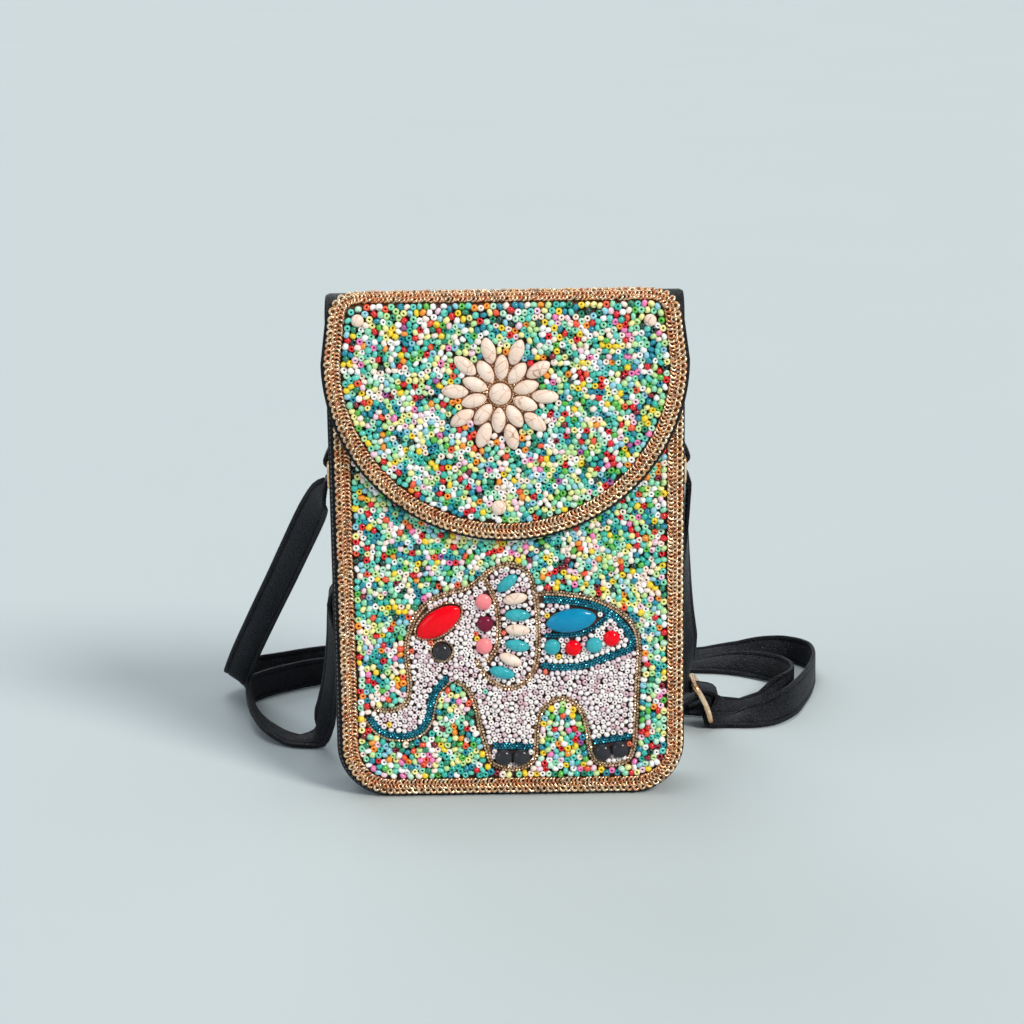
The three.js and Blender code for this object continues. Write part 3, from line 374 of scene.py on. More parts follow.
def veined_stone(name, body, cloud, vein, vein_share, roughness, coat=0.35):
    # Tumbled and polished stone: a cloudy body, thin dark veins that fade in and out, and a waxy gloss
    cloud_mm, web_mm, bend_mm = 5, 4.2, 2
    made, tree, shader, place = shaded(name, {
        "IOR": 1.4, "Specular IOR Level": 0.2, "Coat Weight": coat, "Coat Roughness": 0.04})
    clouds = add_node(
        tree, "ShaderNodeTexNoise", {"Scale": 1 / (cloud_mm * MM), "Detail": 4.0}, {"Vector": place})
    share = clouds.outputs["Fac"]
    patch = add_node(tree, "ShaderNodeMapRange", {1: 0.35, 2: 0.7}, {0: share}).outputs[0]
    tone = add_node(
        tree, "ShaderNodeMix", {"data_type": "RGBA", 6: linear(body), 7: linear(cloud)}, {0: patch})
    bent = add_node(
        tree, "ShaderNodeVectorMath", {"operation": "MULTIPLY_ADD", 1: [bend_mm * MM] * 3},
        {0: clouds.outputs["Color"], 2: place})
    web = add_node(
        tree, "ShaderNodeTexVoronoi", {"feature": "DISTANCE_TO_EDGE", "Scale": 1 / (web_mm * MM)},
        {"Vector": bent.outputs[0]})
    line = add_node(
        tree, "ShaderNodeMapRange", {1: 0.0, 2: 0.05, 3: vein_share, 4: 0.0}, {0: web.outputs["Distance"]})
    fading = add_node(tree, "ShaderNodeMath", {"operation": "MULTIPLY"}, {0: line.outputs[0], 1: patch})
    veined = add_node(
        tree, "ShaderNodeMix", {"data_type": "RGBA", 7: linear(vein)},
        {0: fading.outputs[0], 6: tone.outputs[2]})
    tree.links.new(veined.outputs[2], shader.inputs["Base Color"])
    polish = add_node(tree, "ShaderNodeMapRange", {3: roughness, 4: roughness + 0.15}, {0: share})
    tree.links.new(polish.outputs[0], shader.inputs["Roughness"])
    return made


def pressed_glass(name, colour):
    # Opaque glass cut from a drawn tube and tumbled hot: one even colour all through, with a wet gloss
    return shaded(name, {
        "Base Color": linear(colour), "Roughness": 0.22, "IOR": 1.52, "Coat Weight": 0.4,
        "Coat Roughness": 0.06})[0]


def pressed_felt(name, dark, lit):
    # Thin pressed wool under the beads, and the same sheet under the links, where its brown is painted shade
    # and reflection in the link holes: brown with short mixed fibres, no gloss
    fibre_mm, nap_mm = 0.7, 0.1
    made, tree, shader, fibres = mottled(
        name, {"Roughness": 0.95, "Sheen Weight": 0.25}, "ShaderNodeTexNoise",
        {"Scale": 1 / (fibre_mm * MM), "Detail": 6.0, "Distortion": 1.2}, (dark, lit))
    nap = add_node(tree, "ShaderNodeBump", {"Strength": 0.6, "Distance": nap_mm * MM}, {"Height": fibres})
    tree.links.new(nap.outputs[0], shader.inputs["Normal"])
    return made


def waxed_thread(name, dark, lit):
    # Twisted polyester thread, waxed: fine ply lines across a dark satin; the grey ply bands on the black
    # thread are partly painted highlight standing in for glints
    ply_mm = 0.5
    return mottled(
        name, {"IOR": 1.5}, "ShaderNodeTexWave",
        {"Scale": 1 / (ply_mm * MM), "Distortion": 1.0, "bands_direction": "DIAGONAL"}, (dark, lit),
        roughness=(0.2, 0.5))[0]


# Each leather's second tone is the greyer crown tone: partly wear, partly painted highlight on the grain
LEATHER = embossed_leather("embossed_black_leather", "#040405", "#121216", 1.0, 0.3, 0.36)
STRAP_LEATHER = embossed_leather("embossed_black_strap_leather", "#08090f", "#393d4a", 1.2, 0.4, 0.2)
FELT = pressed_felt("pressed_brown_felt", "#422a24", "#664840")
FLOWER_FELT = pressed_felt("pressed_tan_felt", "#b07a5e", "#d09c80")
# A brown sheet under the chain links: its warm brown is painted shade and painted reflection of the metal
# inside the link holes
LINK_HOLE_SHADE = pressed_felt("brown_painted_link_shade", "#5c3519", "#8a5a30")
# The grey second tone of the black thread is partly painted glints
THREAD = waxed_thread("waxed_black_thread", "#1b1b1f", "#77767c")
GOLD = plated_metal("gold_plated_brass", "#ffe6c4", "#d89a5e", 0.16, 2.0, 0.7)
COPPER = plated_metal("copper_plated_brass", "#fbcaa4", "#c2703f", 0.17, 1.6, 0.7)
OLD_GOLD = plated_metal("worn_gold_beads", "#fbe0c2", "#97683f", 0.16, 1.1, 0.7)
TEAL_METAL = plated_metal("teal_metallic_beads", "#3ea6bc", "#0c526a", 0.15, 1.1, 0.68)
STONES = {
    "cream": veined_stone("polished_howlite", "#fbe6d6", "#f3d3bf", "#a06e50", 1.0, 0.24),
    "teal": veined_stone("polished_dyed_turquoise", "#2aa3af", "#46b6be", "#1f6678", 0.7, 0.2),
    "red": veined_stone("polished_red_resin", "#f20016", "#fa001c", "#d80012", 0.3, 0.1, 0.18),
    "blue": veined_stone("polished_blue_resin", "#0486b4", "#0893bc", "#046a98", 0.4, 0.12, 0.35),
    "pink": veined_stone("polished_pink_coral", "#f5868c", "#fb979b", "#e06a72", 0.3, 0.2),
    "dark_red": veined_stone("polished_garnet_resin", "#701430", "#84203c", "#4c0c20", 0.4, 0.12, 0.15),
    "charcoal": veined_stone("polished_black_onyx", "#2a2b30", "#33343a", "#1a1a1e", 0.4, 0.14, 0.3),
}

FIELD_GLASS = [
    # colour's name, colour, share of the beads
    ["turquoise", "#36b8a8", 7], ["light_turquoise", "#62cfc0", 7], ["mint", "#8fdcb6", 8],
    ["pale_mint", "#c2ecd2", 6], ["pale_green", "#c4e69c", 7], ["white", "#fcfaf8", 13],
    ["cream", "#fdeadb", 9], ["pale_yellow", "#f6f0a0", 8.5], ["teal", "#16889e", 7], ["sky", "#94cfe0", 4.5],
    ["deep_green", "#1a8464", 4], ["leaf_green", "#5cba48", 3.5], ["yellow", "#f9d52c", 4.5],
    ["orange", "#f7952a", 2.6], ["red_orange", "#f15630", 2.5], ["red", "#dc101c", 5],
    ["dark_red", "#86182e", 1.1], ["pink", "#f482ba", 2.5], ["light_pink", "#fad0e0", 3.5],
    ["violet", "#a8559a", 0.3], ["dark_green", "#123e36", 1.4],
]
ELEPHANT_GLASS = [
    ["lilac_white", "#f3e6ea", 46], ["milk_white", "#fef8f6", 38], ["rose_white", "#dcbcc6", 13],
    ["mint_fleck", "#8fd6c4", 0.6], ["yellow_fleck", "#f2cf3e", 0.4], ["coral_fleck", "#ef6a4e", 0.5],
]
HEM_GLASS = [["saddle_white", "#faf6f4", 1]]


# Lines and places
def unit(rows):
    """Rows scaled to a length of one."""
    return rows / np.linalg.norm(rows, axis=1, keepdims=True)


def smooth_line(rows, step):
    """Points about a step apart on a centripetal spline through rows, each with its share along the rows."""
    rows = np.asarray(rows, float)
    ends = np.vstack([2 * rows[0] - rows[1], rows, 2 * rows[-1] - rows[-2]])
    points = []
    for i in range(1, len(ends) - 2):
        p0, p1, p2, p3 = ends[i - 1:i + 3]
        d0, d1, d2 = (max(np.linalg.norm(b - a) ** 0.5, 1e-4) for a, b in ((p0, p1), (p1, p2), (p2, p3)))
        t1 = ((p1 - p0) / d0 - (p2 - p0) / (d0 + d1) + (p2 - p1) / d1) * d1
        t2 = ((p2 - p1) / d1 - (p3 - p1) / (d1 + d2) + (p3 - p2) / d2) * d1
        count = max(1, round(np.linalg.norm(p2 - p1) / step))
        last = i == len(ends) - 3
        for t in np.linspace(0, 1, count + 1)[:None if last else -1]:
            along = p1 + t1 * t + (3 * (p2 - p1) - 2 * t1 - t2) * t ** 2 + (2 * (p1 - p2) + t1 + t2) * t ** 3
            points.append([*along, i - 1 + t])
    return np.array(points)


def even_steps(line, pitch, closed=False):
    """Points at an even pitch along a line, and the direction of the line there."""
    line = np.asarray(line, float)
    if closed:
        line = np.vstack([line, line[:1]])
    along = np.r_[0, np.cumsum(np.linalg.norm(np.diff(line, axis=0), axis=1))]
    count = max(1, round(along[-1] / pitch))
    at = np.linspace(0, along[-1], count + 1)
    if closed:
        at = at[:-1]

    def place(where):
        where = where % along[-1] if closed else np.clip(where, 0, along[-1])
        return np.column_stack([np.interp(where, along, column) for column in line.T])

    ahead = place(at + pitch / 4) - place(at - pitch / 4)
    return place(at), unit(ahead)


def beside(points, ahead, offset):
    """Points moved to the right of a flat line."""
    return points + offset * np.column_stack([ahead[:, 1], -ahead[:, 0]])


def arc(x, y, radius, start, end, step=3):
    """Points on an arc, with its angles in degrees."""
    count = max(2, round(abs(end - start) / step))
    angle = np.radians(np.linspace(start, end, count + 1))
    return np.column_stack([x + radius * np.cos(angle), y + radius * np.sin(angle)])


def pouch_line(half, middle, radius, heights):
    """A line down the left side, round both lower corners and up the right side, as x and z."""
    low = half - radius
    return np.vstack([
        [[-half, z] for z in heights],
        arc(-low, middle, radius, 180, 270),
        arc(low, middle, radius, 270, 360),
        [[half, z] for z in heights[::-1]],
    ])


def flap_skin(s):
    """The flap's outer skin at the length s up its front, over the top and down the back: y, z and slope."""
    s = np.asarray(s, float)
    bend = np.clip((s - FLAP_FRONT_LENGTH) / FLAP_FRONT_BEND, 0, FLAP_BEND_ANGLE)
    top = np.clip(s - FLAP_FRONT_LENGTH - FLAP_BEND_LENGTH, 0, FLAP_TOP_LENGTH)
    turn = np.clip((s - FLAP_TURN_START) / FLAP_BACK_BEND, 0, math.pi - FLAP_BEND_ANGLE)
    drop = np.clip(s - FLAP_TURN_START - FLAP_TURN_LENGTH, 0, None)
    y = (FLAP_FRONT_Y + FLAP_FRONT_BEND * (1 - np.cos(bend)) + top * math.sin(FLAP_BEND_ANGLE)
         + FLAP_BACK_BEND * (math.cos(FLAP_BEND_ANGLE) - np.cos(FLAP_BEND_ANGLE + turn)))
    z = (FLAP_ROUND_Z - FLAP_RADIUS + np.minimum(s, FLAP_FRONT_LENGTH) + FLAP_FRONT_BEND * np.sin(bend)
         + top * math.cos(FLAP_BEND_ANGLE)
         + FLAP_BACK_BEND * (np.sin(FLAP_BEND_ANGLE + turn) - math.sin(FLAP_BEND_ANGLE)) - drop)
    return y, z, bend + turn


def on_panel(points, height):
    """Places on the front panel at x and z: origins and the axes right, up and out."""
    points = np.asarray(points, float)
    origins = np.column_stack([points[:, 0], FRONT_Y - height * np.ones(len(points)), points[:, 1]])
    axes = np.tile(np.array([[1.0, 0, 0], [0, 0, 1], [0, -1, 0]]), (len(points), 1, 1))
    return origins, axes


def on_flap(points, height):
    """Places on the flap at x and the length s up it: origins and the axes right, up and out."""
    points = np.asarray(points, float)
    y, z, angle = flap_skin(points[:, 1])
    none = np.zeros(len(points))
    out = np.column_stack([none, -np.cos(angle), np.sin(angle)])
    up = np.column_stack([none, np.sin(angle), np.cos(angle)])
    right = np.tile([1.0, 0, 0], (len(points), 1))
    origins = np.column_stack([points[:, 0], y, z]) + out * (height * np.ones(len(points)))[:, None]
    return origins, np.stack([right, up, out], axis=1)


FACES = {"panel": on_panel, "flap": on_flap}
FLAP_S_OF_Z = FLAP_RADIUS - FLAP_ROUND_Z


def flat_place(face, x, z):
    """A place on a face in that face's own two measures."""
    return [x, z + FLAP_S_OF_Z] if face == "flap" else [x, z]


# Meshes
def put(name, body, materials, slot, replaces=(), tint=None, sharp=None):
    """Makes a piece of a body's points and faces, smooth up to the sharp angle in degrees."""
    points, faces = body
    mesh = bpy.data.meshes.new(name)
    mesh.from_pydata((np.asarray(points, float) * MM).tolist(), [], [list(map(int, face)) for face in faces])
    for material in materials:
        mesh.materials.append(material)
    if tint is not None:
        mesh.polygons.foreach_set("material_index", np.asarray(tint, np.int32))
    mesh.polygons.foreach_set("use_smooth", np.full(len(mesh.polygons), sharp != 0))
    if sharp:
        mesh.set_sharp_from_angle(angle=math.radians(sharp))
    piece = bpy.data.objects.new(name, mesh)
    bpy.context.scene.collection.objects.link(piece)
    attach(piece, "root")
    if replaces:
        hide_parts(*replaces)


def outward(points, faces):
    """A closed body with its faces turned to point out: points and faces."""
    points = np.asarray(points, float)
    volume = 0.0
    for face in faces:
        for b, c in zip(face[1:-1], face[2:]):
            volume += points[face[0]] @ np.cross(points[b], points[c])
    step = -1 if volume < 0 else 1
    return points, [list(face)[::step] for face in faces]


def sweep(section, origins, across, out, closed=False):
    """A section carried along a path: its points and faces."""
    section = np.asarray(section, float)
    count = len(section)
    points = (origins[:, None] + section[None, :, :1] * across[:, None] + section[None, :, 1:] * out[:, None])
    faces = []
    stations = len(origins)
    for i in range(stations if closed else stations - 1):
        here, ahead = i * count, (i + 1) % stations * count
        for j in range(count):
            k = (j + 1) % count
            faces.append([here + j, here + k, ahead + k, ahead + j])
    if not closed:
        faces.append(list(range(count))[::-1])
        faces.append([(stations - 1) * count + j for j in range(count)])
    return outward(points.reshape(-1, 3), faces)


def gather(parts):
    """Several bodies as one set of points and faces."""
    points, faces, start = [], [], 0
    for body_points, body_faces in parts:
        points.append(np.asarray(body_points))
        faces.extend([[start + index for index in face] for face in body_faces])
        start += len(body_points)
    return np.vstack(points), faces


def rounded_bar(width, thickness, rounding, steps=3):
    """A bar's section with round edges."""
    a, b = width / 2 - rounding, thickness / 2 - rounding
    corners = [(a, b, 0), (-a, b, 90), (-a, -b, 180), (a, -b, 270)]
    return np.vstack([arc(x, y, rounding, start, start + 90, 90 / steps) for x, y, start in corners])


def slab(outline, thickness, rounding=EDGE_ROUND):
    """A sheet cut to an outline, with round edges: points as x, height and depth, and its faces."""
    outline = np.asarray(outline, float)
    ahead = unit(np.roll(outline, -1, 0) - np.roll(outline, 1, 0))
    inward = np.column_stack([-ahead[:, 1], ahead[:, 0]])
    turns = np.radians([0, 30, 60, 90])
    profile = [(rounding * (1 - math.sin(t)), rounding * (1 - math.cos(t))) for t in turns]
    profile += [(inset, thickness - depth) for inset, depth in profile[::-1]]
    count = len(outline)
    points = np.vstack([
        np.column_stack([outline + inward * inset, np.full(count, depth)]) for inset, depth in profile])
    faces = [list(range(count)), [(len(profile) - 1) * count + j for j in range(count)][::-1]]
    for i in range(len(profile) - 1):
        for j in range(count):
            k = (j + 1) % count
            faces.append([i * count + k, i * count + j, (i + 1) * count + j, (i + 1) * count + k])
    return points, faces


def cut_sheet(outline, thickness, rounding, columns, rows):
    """A flat sheet with extra edges along columns and rows, so that it can be bent: points and faces."""
    points, faces = slab(outline, thickness, rounding)
    sheet = bmesh.new()
    spots = [sheet.verts.new(point) for point in points]
    for face in faces:
        sheet.faces.new([spots[index] for index in face])
    for normal, cuts in (((1, 0, 0), columns), ((0, 1, 0), rows)):
        for cut in cuts:
            bmesh.ops.bisect_plane(
                sheet, geom=[*sheet.verts, *sheet.edges, *sheet.faces], plane_co=np.array(normal) * cut,
                plane_no=normal)
    sheet.verts.index_update()
    flat = np.array([spot.co for spot in sheet.verts])
    faces = [[spot.index for spot in face.verts] for face in sheet.faces]
    sheet.free()
    return flat, faces


def turned(profile, sides):
    """A closed profile of radius and height turned about the third axis: points and quads."""
    angle = 2 * math.pi * np.arange(sides) / sides
    profile = np.asarray(profile, float)
    points = np.array([[r * math.cos(a), r * math.sin(a), h] for a in angle for r, h in profile])
    count = len(profile)
    quads = []
    for i in range(sides):
        for j in range(count):
            here, ahead, k = i * count, (i + 1) % sides * count, (j + 1) % count
            quads.append([here + j, ahead + j, ahead + k, here + k])
    points, quads = outward(points, quads)
    return points, np.array(quads)


def faceted_ball():
    """A ball of 24 flat faces, one unit across."""
    steps = np.array([-1.0, 0, 1])
    points, quads = [], []
    for axis in range(3):
        for side in (-1, 1):
            start = len(points)
            for u in steps:
                for v in steps:
                    spot = np.roll([side, u, v], axis)
                    points.append(spot / np.linalg.norm(spot) / 2)
            for i in range(2):
                for j in range(2):
                    a = start + 3 * i + j
                    quads.append([a, a + 3, a + 4, a + 1] if side > 0 else [a, a + 1, a + 4, a + 3])
    return np.array(points), np.array(quads)


def stamp(template, origins, axes, sizes):
    """Copies of a template at many places, with its own axes and sizes for each."""
    points, quads = template
    spread = axes * np.asarray(sizes, float)[..., None]
    copies = origins[:, None] + np.einsum("pk,nkc->npc", points, spread)
    starts = np.arange(len(origins)) * len(points)
    return copies.reshape(-1, 3), (quads[None] + starts[:, None, None]).reshape(-1, quads.shape[1])


def tilted(axes, turn, lean, yaw):
    """Axes turned in their own plane by turn, then leaned by lean towards the direction yaw, in radians."""
    right, up, out = axes[:, 0], axes[:, 1], axes[:, 2]
    c, s = np.cos(turn)[:, None], np.sin(turn)[:, None]
    right, up = c * right + s * up, c * up - s * right
    c, s = np.cos(yaw)[:, None], np.sin(yaw)[:, None]
    towards = c * right + s * up
    aside = c * up - s * right
    c2, s2 = np.cos(lean)[:, None], np.sin(lean)[:, None]
    leaned = c2 * towards - s2 * out
    out = c2 * out + s2 * towards
    return np.stack([c * leaned - s * aside, s * leaned + c * aside, out], axis=1)


# Leather
def panel_outline():
    return np.roll(pouch_line(BAG_WIDTH / 2, PANEL_CORNER, PANEL_CORNER, [POUCH_HEIGHT]), 1, axis=0)


def flap_outline():
    return np.vstack([
        arc(0, FLAP_RADIUS, FLAP_RADIUS, 180, 360, 2),
        [[FLAP_TOP_HALF_WIDTH, FLAP_FRONT_LENGTH], [FLAP_TOP_HALF_WIDTH, FLAP_LENGTH]],
        [[-FLAP_TOP_HALF_WIDTH, FLAP_LENGTH], [-FLAP_TOP_HALF_WIDTH, FLAP_FRONT_LENGTH]],
    ])


def put_leather(node, body):
    put(f"{node}_leather", body, [LEATHER], "leather", [node], sharp=SOFT_EDGE_ANGLE)


def make_panels():
    flat, faces = slab(panel_outline(), PANEL_THICKNESS)
    placed = np.column_stack([flat[:, 0], FRONT_Y + flat[:, 2], flat[:, 1]])
    put_leather("front_panel", outward(placed, faces))
    columns, rows = np.linspace(-60, 60, 17), np.linspace(6, BACK_BELLY_TOP, 18)
    flat, faces = cut_sheet(panel_outline(), PANEL_THICKNESS, EDGE_ROUND, columns, rows)
    low = np.clip(PANEL_CORNER - flat[:, 1], 0, None)
    width = BAG_WIDTH / 2 - PANEL_CORNER + np.sqrt(np.clip(PANEL_CORNER ** 2 - low ** 2, 0, None))
    rise = np.sin(math.pi * np.clip(flat[:, 1], 0, BACK_BELLY_TOP) / BACK_BELLY_TOP) ** 2
    belly = BACK_BELLY * rise * (1 - np.clip(flat[:, 0] / width, -1, 1) ** 2)
    placed = np.column_stack([flat[:, 0], belly + flat[:, 2] - FRONT_Y - PANEL_THICKNESS, flat[:, 1]])
    put_leather("back_panel", outward(placed, faces))


def side_strip(path, hand, width, thickness, rounding):
    """A strip of leather that follows a path of x and z, mirrored for the left side: points and faces."""
    ahead = unit(np.gradient(path, axis=0))
    none = np.zeros(len(path))
    origins = np.column_stack([hand * path[:, 0], none, path[:, 1]])
    out = np.column_stack([hand * ahead[:, 1], none, -ahead[:, 0]])
    across = np.tile([0.0, 1, 0], (len(path), 1))
    return sweep(rounded_bar(width, thickness, rounding), origins, across, out)


def make_gusset():
    half = BAG_WIDTH / 2 - GUSSET_INSET - GUSSET_THICKNESS / 2
    radius = GUSSET_CORNER - GUSSET_THICKNESS / 2
    path = pouch_line(half, GUSSET_CORNER, radius, [POUCH_HEIGHT - 0.01, 120, 60])
    depth = POUCH_DEPTH - 2 * (PANEL_THICKNESS + GAP)
    put_leather("gusset", side_strip(path, 1, depth, GUSSET_THICKNESS, GUSSET_EDGE))


def flap_sheet(outline, thickness, rounding, lift):
    """A sheet cut flat and then bent over the bag's top, with its outer face lifted off the flap's skin."""
    bend = np.linspace(FLAP_FRONT_LENGTH, FLAP_FRONT_LENGTH + FLAP_BEND_LENGTH, 15)
    turn = np.linspace(FLAP_TURN_START, FLAP_TURN_START + FLAP_TURN_LENGTH, 11)
    flat, faces = cut_sheet(outline, thickness, rounding, [], [*bend, *turn])
    return outward(on_flap(flat[:, :2], lift - flat[:, 2])[0], faces)


def make_flap():
    put_leather("flap", flap_sheet(flap_outline(), FLAP_THICKNESS, EDGE_ROUND, 0))


def make_felt():
    """Felt inside the chain borders, which the beads are glued to, and under the links a brown sheet whose
    colour is painted shade and reflection seen through the link holes.
    """
    cuts = []
    for face, path, closed in CHAINS[::-1]:
        spots, ahead = even_steps(path, FELT_STEP, closed)
        # Under each border's links, the sheet of painted shade and reflection
        cuts.append([f"{face}_gauze", LINK_HOLE_SHADE, face, beside(spots, ahead, FELT_REACH), 1])
        cuts.append([f"{face}_felt", FELT, face, beside(spots, ahead, -FELT_REACH), 1.5])
    bed = arc(*flat_place("flap", FLOWER_X, FLOWER_Z), FLOWER_BED, 0, 350, 10)
    cuts.insert(2, ["flower_felt", FLOWER_FELT, "flap", bed, 2])
    for name, ground, face, cut, layers in cuts:
        lift = layers * FELT_THICKNESS
        if face == "flap":
            body = flap_sheet(cut, FELT_THICKNESS, FELT_EDGE, lift)
        else:
            flat, faces = slab(cut[::-1], FELT_THICKNESS, FELT_EDGE)
            body = outward(on_panel(flat[:, :2], lift - flat[:, 2])[0], faces)
        put(name, body, [ground], "seed_beads", sharp=SOFT_EDGE_ANGLE)


def make_tab(side):
    """A strip of leather folded round the ring's upper bar and sewn to the gusset."""
    bar = RING_BAR_Z + RING_HEIGHT
    seat = BAG_WIDTH / 2 - GUSSET_INSET + GAP
    fold = WIRE_RADIUS + GAP + TAB_WALL / 2
    inner, outer = seat + TAB_WALL / 2, seat + 1.5 * TAB_WALL + TAB_SLACK
    sewn, top, bulge = bar + 8, bar + TAB_HEIGHT, 0.4
    rows = [[inner, top], [inner, sewn], [inner, bar + 4]]
    rows += arc(RING_OFFSET, bar, fold, 165, 375, 35).tolist()
    rows += [[outer + bulge, bar + 5.5], [outer, sewn], [outer, top]]
    path = smooth_line(rows, 0.8)[:, :2]
    body = side_strip(path, HANDS[side], TAB_WIDTH, TAB_WALL - TAB_SLACK, TAB_EDGE)
    put_leather(f"ring_tab_{side}", body)


SLIDE_RUN = np.array([math.cos(SLIDE_SLOPE), 0, -math.sin(SLIDE_SLOPE)])
SLIDE_OUT = np.array([math.sin(SLIDE_SLOPE), 0, math.cos(SLIDE_SLOPE)])
RING_TURN = WIRE_RADIUS + GAP + STRAP_THICKNESS / 2
SLIDE_TURN = SLIDE_WIRE_RADIUS + GAP + STRAP_THICKNESS / 2


def strap_route():
    """The strap's middle line and the direction of one edge, row by row."""

    def ring_turn(x):
        return [[along, 0, z, 0, 1, 0] for along, z in arc(x, RING_BAR_Z, RING_TURN, 180, 0, 45)]

    def slide_point(run, out, edge):
        return [*(SLIDE_CENTRE + run * SLIDE_RUN + out * SLIDE_OUT), 0, edge, 0]

    weave = [
        slide_point(SLIDE_HALF_LENGTH * i / 6, WEAVE_MIDDLE + WEAVE_SWING * math.cos(math.pi * i / 6), 1)
        for i in range(-6, 7)]
    start, straight, end = -9, -4, -7
    bar = [[-SLIDE_TURN, start], [-SLIDE_TURN, straight], [-SLIDE_TURN, 0]]
    bar += [*arc(0, 0, SLIDE_TURN, 135, 0, 45), [SLIDE_TURN, straight], [SLIDE_TURN, end]]
    return [
        [RING_OFFSET - RING_TURN, 0, RING_BAR_Z - STRAP_SEWN_END, 0, 1, 0],
        *ring_turn(RING_OFFSET), *STRAP_DOWN_RIGHT, *weave, *STRAP_ROUND_BACK,
        *ring_turn(-RING_OFFSET), *STRAP_LEFT_LOOP, *[slide_point(run, out, -1) for run, out in bar],
    ]


def strap_section():
    """The strap's section: round edges and a pressed crease along each edge of both faces."""
    half, thick, edge = STRAP_WIDTH / 2, STRAP_THICKNESS / 2, 0.45
    crease, groove, depth = half - 1.9, 0.45, 0.4
    side = [[crease - groove, thick], [crease, thick - depth], [crease + groove, thick]]
    top = [*arc(half - edge, thick - edge, edge, 0, 90, 30).tolist(), *side[::-1]]
    top += [[-x, y] for x, y in top[::-1]]
    return np.array(top + [[-x, -y] for x, y in top])


def strap_stations():
    """Places along the strap, and the directions across it and out of it there."""
    route = np.array(strap_route())
    line = smooth_line(route[:, :3], STRAP_STEP)
    origins, share = line[:, :3], line[:, 3]
    whole = np.minimum(share.astype(int), len(route) - 2)
    edges = unit(route[:, 3:])
    across = edges[whole] + (edges[whole + 1] - edges[whole]) * (share - whole)[:, None]
    ahead = unit(np.gradient(origins, axis=0))
    across = unit(across - ahead * (across * ahead).sum(1)[:, None])
    out = np.cross(ahead, across)
    low = GAP + STRAP_WIDTH / 2 * abs(across[:, 2]) + STRAP_THICKNESS / 2 * abs(out[:, 2])
    origins[:, 2] = np.maximum(origins[:, 2], low)
    return origins, across, out


def make_strap():
    body = sweep(strap_section(), *strap_stations())
    put("strap_leather", body, [STRAP_LEATHER], "leather", ["strap"], sharp=50)


def make_stitches():
    """Rows of thread: round both panels, along the back of the flap and up the tabs."""
    length, width, pitch, rim = 1.35, 0.55, 1.8, 0.85
    seam_top, hem_half, hem_inset = 176, 62, 2.5
    tab_low, tab_high, tab_side = 7, 15, 3.4
    seam = pouch_line(BAG_WIDTH / 2 - rim, PANEL_CORNER, PANEL_CORNER - rim, [seam_top])
    flat, run = (np.insert(rows, 1, 0, axis=1) for rows in even_steps(seam, pitch))
    rows = []
    for y, facing in ((FRONT_Y, -1.0), (-FRONT_Y, 1.0)):
        rows.append((flat + [0, y, 0], run, np.tile([0, facing, 0], (len(flat), 1))))
    hem_s = FLAP_LENGTH - hem_inset
    origins, axes = on_flap(even_steps([[-hem_half, hem_s], [hem_half, hem_s]], pitch)[0], 0)
    rows.append((origins, axes[:, 0], axes[:, 2]))
    bar = RING_BAR_Z + RING_HEIGHT
    seat = BAG_WIDTH / 2 - GUSSET_INSET + GAP + 2 * TAB_WALL
    heights = even_steps([[bar + tab_low, 0], [bar + tab_high, 0]], pitch)[0][:, 0]
    for hand in (1.0, -1.0):
        for y in (-tab_side, tab_side):
            spots = np.array([[hand * seat, y, z] for z in heights])
            run, out = (np.tile(way, (len(spots), 1)) for way in ([0, 0, 1.0], [hand, 0, 0]))
            rows.append((spots, run, out))
    origins, run, out = (np.vstack(column) for column in zip(*rows))
    axes = np.stack([run, np.cross(out, run), out], axis=1)
    body = stamp(faceted_ball(), origins, axes, np.tile([length, width, width], (len(origins), 1)))
    put("seam_stitches", body, [THREAD], "leather")


# Metal
def wire_loop(half_a, half_b, corner):
    """Points along a rectangle with round corners, and the direction there."""
    return even_steps(rounded_bar(2 * half_a, 2 * half_b, corner, 6), WIRE_STEP, closed=True)


def wire_section(radius):
    return arc(0, 0, radius, 0, 330, 30)


def make_ring(side):
    loop, ahead = wire_loop(STRAP_WIDTH / 2 + GAP + RING_CORNER, RING_HEIGHT / 2, RING_CORNER)
    middle = RING_BAR_Z + RING_HEIGHT / 2
    none = np.zeros(len(loop))
    origins = np.column_stack([none + HANDS[side] * RING_OFFSET, loop[:, 0], middle + loop[:, 1]])
    across = np.column_stack([none, ahead[:, 1], -ahead[:, 0]])
    out = np.tile([1.0, 0, 0], (len(loop), 1))
    body = sweep(wire_section(WIRE_RADIUS), origins, across, out, closed=True)
    put(f"ring_{side}_wire", body, [GOLD], "gold_metal", [f"ring_{side}"])


def make_slide():
    """A bowed three-bar slide."""
    half_width = STRAP_WIDTH / 2 + 2 * GAP + SLIDE_WIRE_RADIUS
    loop, ahead = wire_loop(half_width, SLIDE_HALF_LENGTH, SLIDE_CORNER)
    bow = -SLIDE_BOW * (loop[:, 1] / SLIDE_HALF_LENGTH) ** 2
    along_y = np.array([0.0, 1, 0])
    origins = SLIDE_CENTRE + np.outer(loop[:, 0], along_y) + np.outer(loop[:, 1], SLIDE_RUN)
    origins = origins + np.outer(bow, SLIDE_OUT)
    across = np.outer(ahead[:, 1], along_y) - np.outer(ahead[:, 0], SLIDE_RUN)
    out = np.tile(SLIDE_OUT, (len(loop), 1))
    frame_bar = sweep(wire_section(SLIDE_WIRE_RADIUS), origins, across, out, closed=True)
    ends = SLIDE_CENTRE + np.outer([-half_width, half_width], along_y)
    run, out = (np.tile(way, (2, 1)) for way in (SLIDE_RUN, SLIDE_OUT))
    middle_bar = sweep(wire_section(SLIDE_BAR_RADIUS), ends, run, out)
    put("slide_wire", gather([frame_bar, middle_bar]), [GOLD], "gold_metal", ["slide"], sharp=60)


